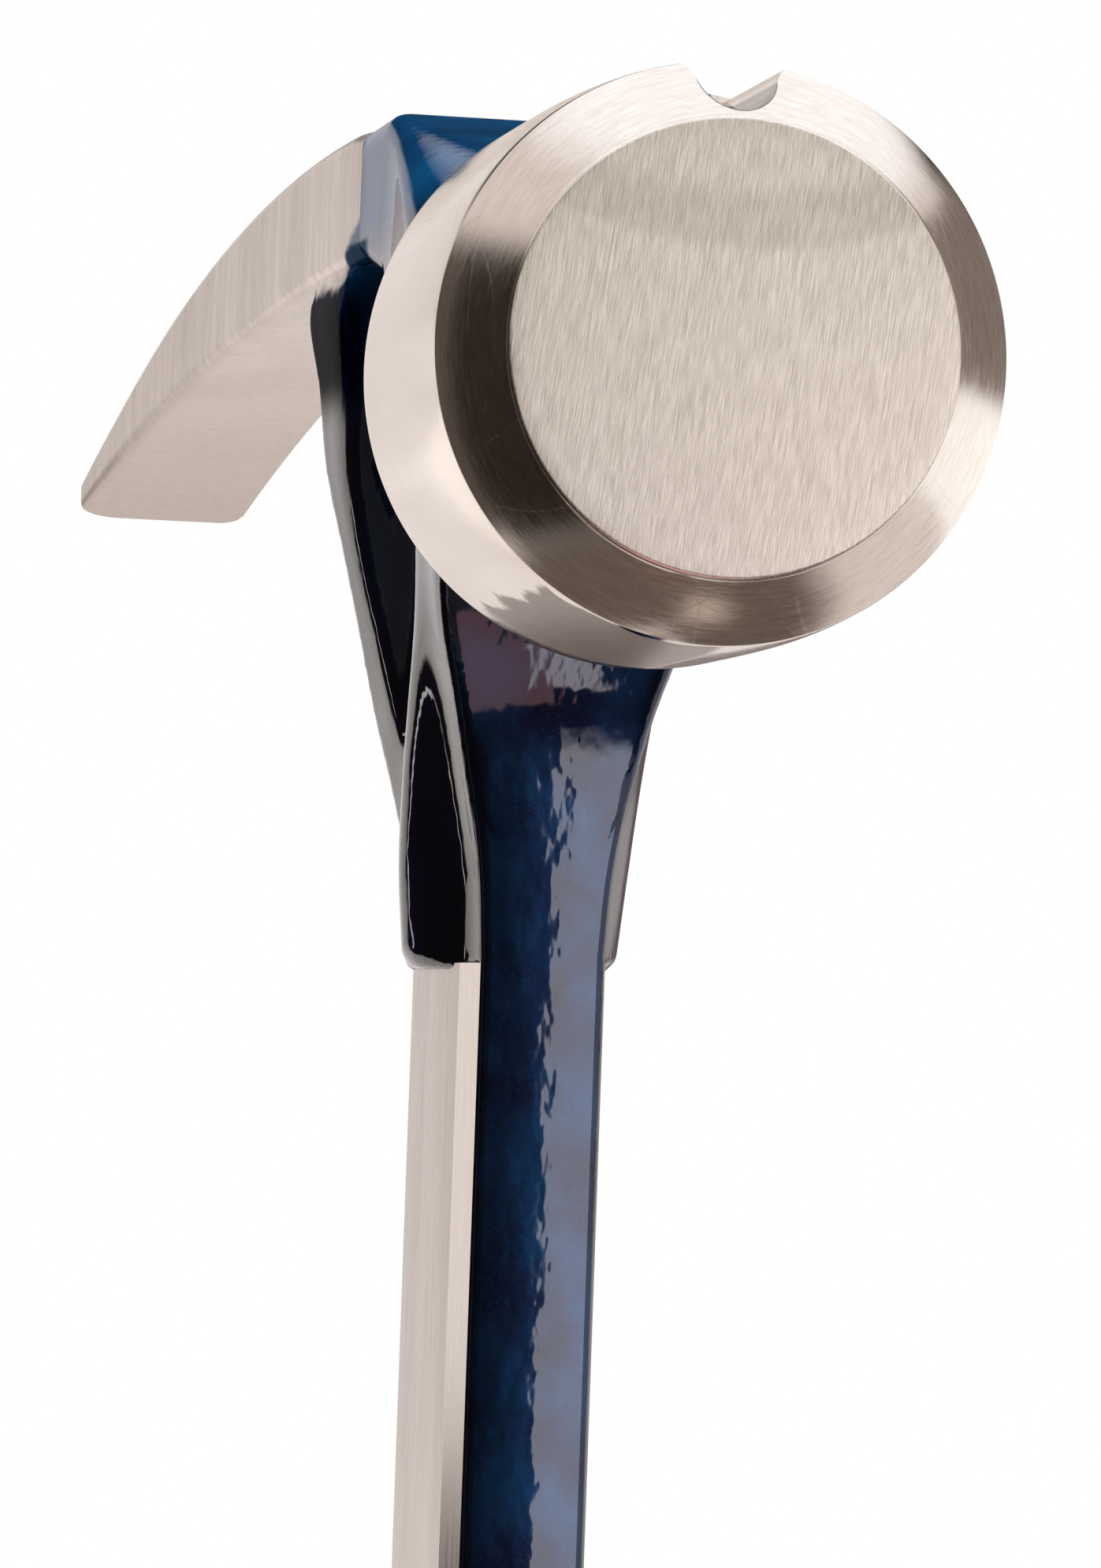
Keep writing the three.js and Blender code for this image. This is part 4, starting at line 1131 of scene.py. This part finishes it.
def makePaintedHead():
    finish = headFinish

    def sinkAt(reach):
        return finish["sinkDepth"] * easeShare((reach - finish["sinkStart"]) / finish["sinkLength"])

    def skinAt(reach):
        past = easeShare((reach - finish["skinStart"]) / finish["skinLength"])
        return mixNumbers(finish["skinOver"], finish["skinUnder"], past)

    block = loftSkin("headBlock", cheekRings() + clawRings(finish["clawEnd"], 24, sinkAt))
    neck = loftSkin("neck", neckRings())
    stub = spinSkin("pollStub", pollStubWire(), (0, faceY, pollAxis), (0, 1, 0), 160)
    head = joinPieces([block, neck, stub], "paintedHead")
    remesh = head.modifiers.new("remesh", "REMESH")
    remesh.mode = "VOXEL"
    remesh.voxel_size = finish["voxel"] * mm
    applyModifiers(head)
    fillHollows(head, finish["hollowRounds"], finish["hollowPace"])
    even = head.modifiers.new("even", "SMOOTH")
    even.factor = finish["evenFactor"]
    even.iterations = finish["evenRounds"]
    applyModifiers(head)
    cutWith(head, loftSkin("clawSpace", clawRings(finish["clawEnd"] + 4, 40, skinAt)))
    print("head blended:", len(head.data.polygons), "faces")
    return head


def makeClaws():
    claws = loftSkin("clawPair", clawRings(clawTipY, 110, lambda reach: 0))
    for cutter in [*slotCutters(), *tipCutters()]:
        cutWith(claws, cutter)
    return claws


def makeHeadPieces():
    claws, head = makeClaws(), makePaintedHead()
    satin = ("satinDark", "satinLight")
    clawSteel = satinSteel("clawSteel", "claw", satin, tipTone="clawTip")
    finishPiece(claws, clawSteel, "forged_body", "forged_steel", 30)
    finishPiece(head, satinSteel("headEnamel", "claw", satin), "forged_body", "blue_enamel", 45)
    print("claws and painted head ready")


# Shank: a bare bar between two enamelled edges

edgeShape = {  # millimetres
    "barSetBack": 0.5,  # the bare bar lies this far under the enamel
    "barRound": 0.12,
    "barCorner": ((-0.3, 0), (0.02, 0.15)),  # from the thickness and depth of the edge
    "barEnd": 0.6,
    "cornerRound": 0.6,
    "rearCrown": 0.05,
    "proud": 0.03,
    "inset": 0.5, "thickness": 2.2,
    "sinkStart": 5,  # above the tongue's end, where the edge melts into the neck
    "sinkLength": 5,
    "sinkDepth": 0.12,
}


# Half thickness and half depth of the shank, and half the thickness at its edges
def shankHalves(height):
    drop = pollAxis - shankShape["taperDrop"]
    share = min(1, max(0, (drop - height) / (drop - gripTop)))
    half = mixNumbers(shankShape["thickness"], shankShape["thicknessAtGrip"], share) / 2
    return (half, mixNumbers(shankShape["depth"], shankShape["depthAtGrip"], share) / 2,
            half * shankShape["edgeThickness"] / shankShape["thickness"])


def shankRing(height):
    half, quarter, edgeHalf = shankHalves(height)
    bevelEnd = shankShape["bevelLength"] * quarter * 2 / shankShape["depth"] - quarter
    soft, under = edgeShape["barRound"], edgeShape["barSetBack"] - quarter
    corner = [(edgeHalf + x, under + y) for x, y in edgeShape["barCorner"]]
    return mirrorRing([*corner, (half - soft / 3, bevelEnd - soft * 2), (half, bevelEnd + soft * 2)], height)


def edgeRing(height, side):
    shape = edgeShape
    _, quarter, edgeHalf = shankHalves(height)
    rise = (height - tongueEnd) / neckHeight
    front, skin = -quarter, shape["proud"]
    if rise > 0:
        shares = neckSharesAt(rise)
        edgeHalf = headShape["cheekWidth"] / 2 * shares["frontHalf" if side > 0 else "rearHalf"]
        place = shares["front"] if side > 0 else 1 - shares["rear"]
        front = shankShape["depth"] * (place - 0.5)
        past = height - tongueEnd - shape["sinkStart"]
        skin -= shape["sinkDepth"] * easeShare(past / shape["sinkLength"])
    crown = neckShape["frontCrown"] if side > 0 else shape["rearCrown"]
    corner = shape["cornerRound"]
    flat = edgeHalf - corner + skin
    outer = [(x, front - skin + y) for x, y in crownedLine(flat, 0, crown, 12)]
    turned = arcPoints((flat, front - skin + crown + corner), corner, -90, 0, 5)[1:]
    inner = [(x, front + shape["thickness"]) for x in (shape["inset"] - edgeHalf, edgeHalf - shape["inset"])]
    ring = [*reversed(outer), *[(-x, y) for x, y in turned], *inner, *reversed(turned)]
    return [(x, side * y, height) for x, y in ring]


def makeShank():
    heights = [gripTop, pollAxis - shankShape["taperDrop"], tongueEnd - edgeShape["barEnd"]]
    bar = loftSkin("shankBar", [shankRing(height) for height in heights])
    steel = satinSteel("shankSteel", "flat", ("flatDark", "flatLight"), painted=False, bevelHighlightTone="bevelHighlight")
    finishPiece(bar, steel, "forged_body", "forged_steel", 5)
    sinkEnd = tongueEnd + edgeShape["sinkStart"] + edgeShape["sinkLength"] + 1
    heights = [mixNumbers(gripTop, tongueEnd - 1, share) for share in evenShares(40)]
    heights += [mixNumbers(tongueEnd, sinkEnd, share) for share in evenShares(24)]
    for name, side in (("frontEdgeEnamel", 1), ("rearEdgeEnamel", -1)):
        edge = loftSkin(name, [edgeRing(height, side) for height in heights])
        finishPiece(edge, bpy.data.materials["blueEnamel"], "forged_body", "blue_enamel", 50)
    print("shank ready")


# Grip: leather washers and fibre spacers threaded on the tang between ferrule and butt cap

gripShape = {
    "columns": 96, "roundness": 0.88, "width": 27, "depth": 35,
    "tangHalf": (3.2, 7.5), "slotClearance": 0.3, "tangBottom": 2.9, "tangCorner": 0.8,
    "leatherEdge": 0.30, "leatherBarrel": 0.04, "fibreEdge": 0.16, "fibreBarrel": 0.02, "ferruleEdge": 0.7,
    "pocketHalf": (3.5, 7.8), "capFloor": 2.6, "capFlare": 0.9, "capBottomInset": 1.6, "capTopRound": 0.4,
    "capFoot": ((6, 0.5), (1.5, 0.12)), "capLip": 0.36,
    "capSides": ((0.45, 0.92), (0.70, 0.78), (0.88, 0.52)),
    "pinRadius": 1.8, "pinHeight": 6.2, "pinDome": 0.5, "boreRadius": 2.1, "boreLength": 50,
}

# The grip's outline from cap to ferrule, as shares of its full width, depth and height
gripShares = [(1.05, 1.10, 0.00), (0.99, 1.00, 0.10), (0.94, 0.93, 0.32), (1.00, 1.00, 0.60),
              (0.92, 0.92, 0.84), (0.80, 0.83, 1.00)]


# Half width and half depth of the grip at a height
def gripHalves(height):
    rise = min(1, max(0, (height - capTop) / (gripTop - capTop)))
    points = [Vector(row) for row in gripShares]
    low, high = 0, 1
    for _ in range(24):
        middle = (low + high) / 2
        if curvePoint(points, middle).z < rise:
            low = middle
        else:
            high = middle
    point = curvePoint(points, low)
    return gripShape["width"] / 2 * point.x, gripShape["depth"] / 2 * point.y


def columnTurns():
    return [math.tau * column / gripShape["columns"] for column in range(gripShape["columns"])]


def ovalRing(halves, grown, height):
    power = gripShape["roundness"]
    ring = []
    for turn in columnTurns():
        x = math.copysign(abs(math.cos(turn)) ** power, math.cos(turn))
        y = math.copysign(abs(math.sin(turn)) ** power, math.sin(turn))
        ring.append(((halves[0] + grown) * x, (halves[1] + grown) * y, height))
    return ring


def slotRing(spread, height):
    halfX, halfY = [half + spread for half in gripShape["tangHalf"]]
    ring = []
    for turn in columnTurns():
        reach = min(halfX / max(1e-6, abs(math.cos(turn))), halfY / max(1e-6, abs(math.sin(turn))))
        ring.append((reach * math.cos(turn), reach * math.sin(turn), height))
    return ring


def washerRings(bottom, top, edge, barrel):
    rounds = [(edge * (1 - math.cos(turn)), -edge * (1 - math.sin(turn))) for turn in quarterTurns(4)]
    outside = [(bottom + rise, grown) for rise, grown in rounds] + [((bottom + top) / 2, barrel)]
    outside += [(top - rise, grown) for rise, grown in reversed(rounds)]
    slots = [slotRing(gripShape["slotClearance"], height) for height in (bottom, top, bottom)]
    return [slots[0], *[ovalRing(gripHalves(height), grown, height) for height, grown in outside], *slots[1:]]


def makeWasher(node, name, material, slotName, edge, barrel=0.0):
    low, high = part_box(node)
    piece = loftSkin(name, washerRings(low.z / mm, high.z / mm, edge, barrel))
    finishPiece(piece, material, node, slotName)


leatherTones = {
    "leather_mid": {"pale": (0.36, 0.165, 0.065, 1), "deep": (0.20, 0.080, 0.030, 1)},
    "leather_light": {"pale": (0.46, 0.235, 0.100, 1), "deep": (0.29, 0.125, 0.048, 1)},
    "leather_dark": {"pale": (0.24, 0.098, 0.038, 1), "deep": (0.12, 0.045, 0.018, 1)},
}

gripFinish = {
    "plies": {"Stretch": (0.22, 0.22, 1), "Scale": 2600.0, "Band_Scale": 420.0},
    "turning": {"Stretch": (0.08, 0.08, 1), "Scale": 3000.0, "Band_Scale": 220.0},
    "scratches": {"Scale": 200.0, "Width": 0.008},
    "poreScale": 2100, "stainScale": 110, "hideScale": 150, "hideStretch": (0.02, 0.02, 1),
    "stained": 0.55, "banded": 0.30, "darkHides": 0.60,
    "leatherCoat": 0.55, "leatherCoatRough": 0.16, "leatherRough": (0.36, 0.56),
    "fibreTones": ((0.010, 0.010, 0.012, 1), (0.030, 0.029, 0.030, 1)), "fibreSpecks": 2400,
    "metalTones": ((0.56, 0.545, 0.53, 1), (0.68, 0.665, 0.645, 1)),
    "magnetTones": ((0.20, 0.195, 0.19, 1), (0.36, 0.35, 0.34, 1)), "magnetSpecks": 2600,
}


def leather(slotName):
    look, tones = gripFinish, leatherTones[slotName]
    material, shader, place = newMaterial("stacked_" + slotName, Coat_Weight=look["leatherCoat"],
                                          Coat_Roughness=look["leatherCoatRough"])
    plies = useEffect("grindLines", Vector=place, **look["plies"])
    pores = addNode("TexVoronoi", {"Vector": place, "Scale": look["poreScale"]}).outputs["Distance"]
    stain = noiseAt(place, look["stainScale"], 4)
    flattened = addNode("Mapping", {"Vector": place, "Scale": look["hideStretch"]}).outputs[0]
    hides = noiseAt(flattened, look["hideScale"])
    colour = mixColours(plies["Height"], tones["deep"], tones["pale"])
    colour = mixColours(ramp(stain, 0.35, 0.75, 0.0, look["stained"]), colour, tones["deep"])
    colour = mixColours(ramp(plies["Band"], 0.0, 1.0, 0.0, look["banded"]), colour, tones["pale"])
    colour = mixColours(ramp(hides, 0.38, 0.62, 0.0, look["darkHides"]), colour, tones["deep"])
    normal = addBumps((plies["Height"], 0.05), (ramp(pores, 0.0, 0.35), 0.02))
    rough = ramp(stain, 0.3, 0.7, *look["leatherRough"])
    setInputs(shader, Base_Color=colour, Roughness=rough, Normal=normal)
    return material


def blackFibre():
    material, shader, place = newMaterial("blackFibre")
    specks = noiseAt(place, gripFinish["fibreSpecks"], 3)
    colour = mixColours(ramp(specks, 0.4, 0.7), *gripFinish["fibreTones"])
    setInputs(shader, Base_Color=colour, Roughness=ramp(specks, 0.3, 0.7, 0.38, 0.55),
              Normal=addBumps((specks, 0.02)))
    return material


def turnedMetal():
    material, shader, place = newMaterial("turnedMetal", Metallic=1.0)
    lines = useEffect("grindLines", Vector=place, **gripFinish["turning"])
    hair = useEffect("hairlines", Vector=place, **gripFinish["scratches"])
    rough = plus(ramp(lines["Height"], 0.25, 0.75, 0.20, 0.32), times(hair["Mask"], 0.12))
    setInputs(shader, Base_Color=mixColours(lines["Band"], *gripFinish["metalTones"]),
              Roughness=rough, Normal=addBumps((lines["Height"], 0.006)))
    return material


def pinProfile(reach):
    radius, dome, height = gripShape["pinRadius"], gripShape["pinDome"], gripShape["pinHeight"]
    half = [(radius * math.cos(turn), reach - dome / 2 + dome * 1.5 * math.sin(turn))
            for turn in quarterTurns(10)[:-1]]
    half.append((0, reach + dome))
    return [(x, 0, height + r) for r, x in [*[(r, -x) for r, x in reversed(half)], *half]]


def makeCap(metal):
    shape = gripShape
    flare, inset, top = shape["capFlare"], shape["capBottomInset"], shape["capTopRound"]
    foot = flare - inset
    outside = [(foot - inner, height) for inner, height in shape["capFoot"]]
    outside += [(foot + inset * math.sin(turn), inset * (1 - math.cos(turn))) for turn in quarterTurns(8)]
    outside += [(flare * grown, mixNumbers(inset, capTop, share)) for share, grown in shape["capSides"]]
    outside += [(shape["capLip"] * flare - top * (1 - math.cos(turn)), capTop - top + top * math.sin(turn))
                for turn in quarterTurns(4)]
    halves = gripHalves(capTop)
    cap = loftSkin("buttCapShell", [ovalRing(halves, grown, height) for grown, height in outside])
    halfX, halfY = shape["pocketHalf"]
    cutWith(cap, boxPiece("tangPocket", (-halfX, -halfY, shape["capFloor"]), (halfX, halfY, capTop + 2)))
    bore = cylinderPiece("pinBore", shape["boreRadius"], shape["boreLength"], (0, 0, shape["pinHeight"]),
                         (0, math.pi / 2, 0))
    cutWith(cap, bore, keepCutter=True)
    finishPiece(cap, metal, "butt_cap", "grip_metal", 40)
    makeTang(bore)


def makeTang(bore):
    halfX, halfY = gripShape["tangHalf"]
    corner = gripShape["tangCorner"]
    outline = [(halfX - corner, -halfY), (halfX, corner - halfY)]
    rings = [mirrorRing(outline, height) for height in (gripShape["tangBottom"], gripTop + 2)]
    tang = loftSkin("gripTang", rings)
    cutWith(tang, bore)
    finishPiece(tang, bpy.data.materials["shankSteel"], "forged_body", "forged_steel", 30)


def makeMagnet():
    low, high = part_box("nail_magnet")
    radius = (high.x - low.x) / 2 / mm
    centre = (low + high) / 2 / mm
    bottom, top = low.z / mm, high.z / mm
    soft = 0.2
    points = [(0, bottom), (radius - soft, bottom), (radius, bottom + soft), (radius, top - soft),
              (radius - soft * 0.4, top - soft * 0.1), (radius - soft, top), (0, top)]
    magnet = spinSkin("magnetDisc", [(centre.x + r, centre.y, z) for r, z in points], centre, (0, 0, 1), 48)
    material, shader, place = newMaterial("magnetMetal", Metallic=1.0)
    specks = noiseAt(place, gripFinish["magnetSpecks"])
    setInputs(shader, Base_Color=mixColours(specks, *gripFinish["magnetTones"]),
              Roughness=ramp(specks, 0.3, 0.7, 0.25, 0.45))
    finishPiece(magnet, material, "nail_magnet", "magnet")


def makeGrip():
    shape = gripShape
    materials = {slotName: leather(slotName) for slotName in leatherTones}
    slotNames = list(leatherTones)
    for index in range(26):
        slotName, number = slotNames[index % len(slotNames)], f"{index + 1:02d}"
        makeWasher("leather_washer_" + number, "leatherWasher" + number, materials[slotName], slotName,
                   shape["leatherEdge"], shape["leatherBarrel"])
    fibre = blackFibre()
    for end in ("bottom", "top"):
        for number in (1, 2):
            name = f"fibreSpacer{end.capitalize()}{number}"
            makeWasher(f"fibre_spacer_{end}_{number}", name, fibre, "fibre", shape["fibreEdge"],
                       shape["fibreBarrel"])
    metal = turnedMetal()
    makeWasher("grip_ferrule", "gripFerrule", metal, "grip_metal", shape["ferruleEdge"])
    makeCap(metal)
    profile = pinProfile(gripHalves(capTop)[0] + shape["capFlare"] / 2)
    pin = spinSkin("crossPin", profile, (0, 0, shape["pinHeight"]), (1, 0, 0), 48)
    finishPiece(pin, metal, "butt_cap_pin", "grip_metal")
    print("grip ready")


makeStudio()
blueEnamel()
makePoll()
makeHeadPieces()
makeShank()
makeMagnet()
makeGrip()
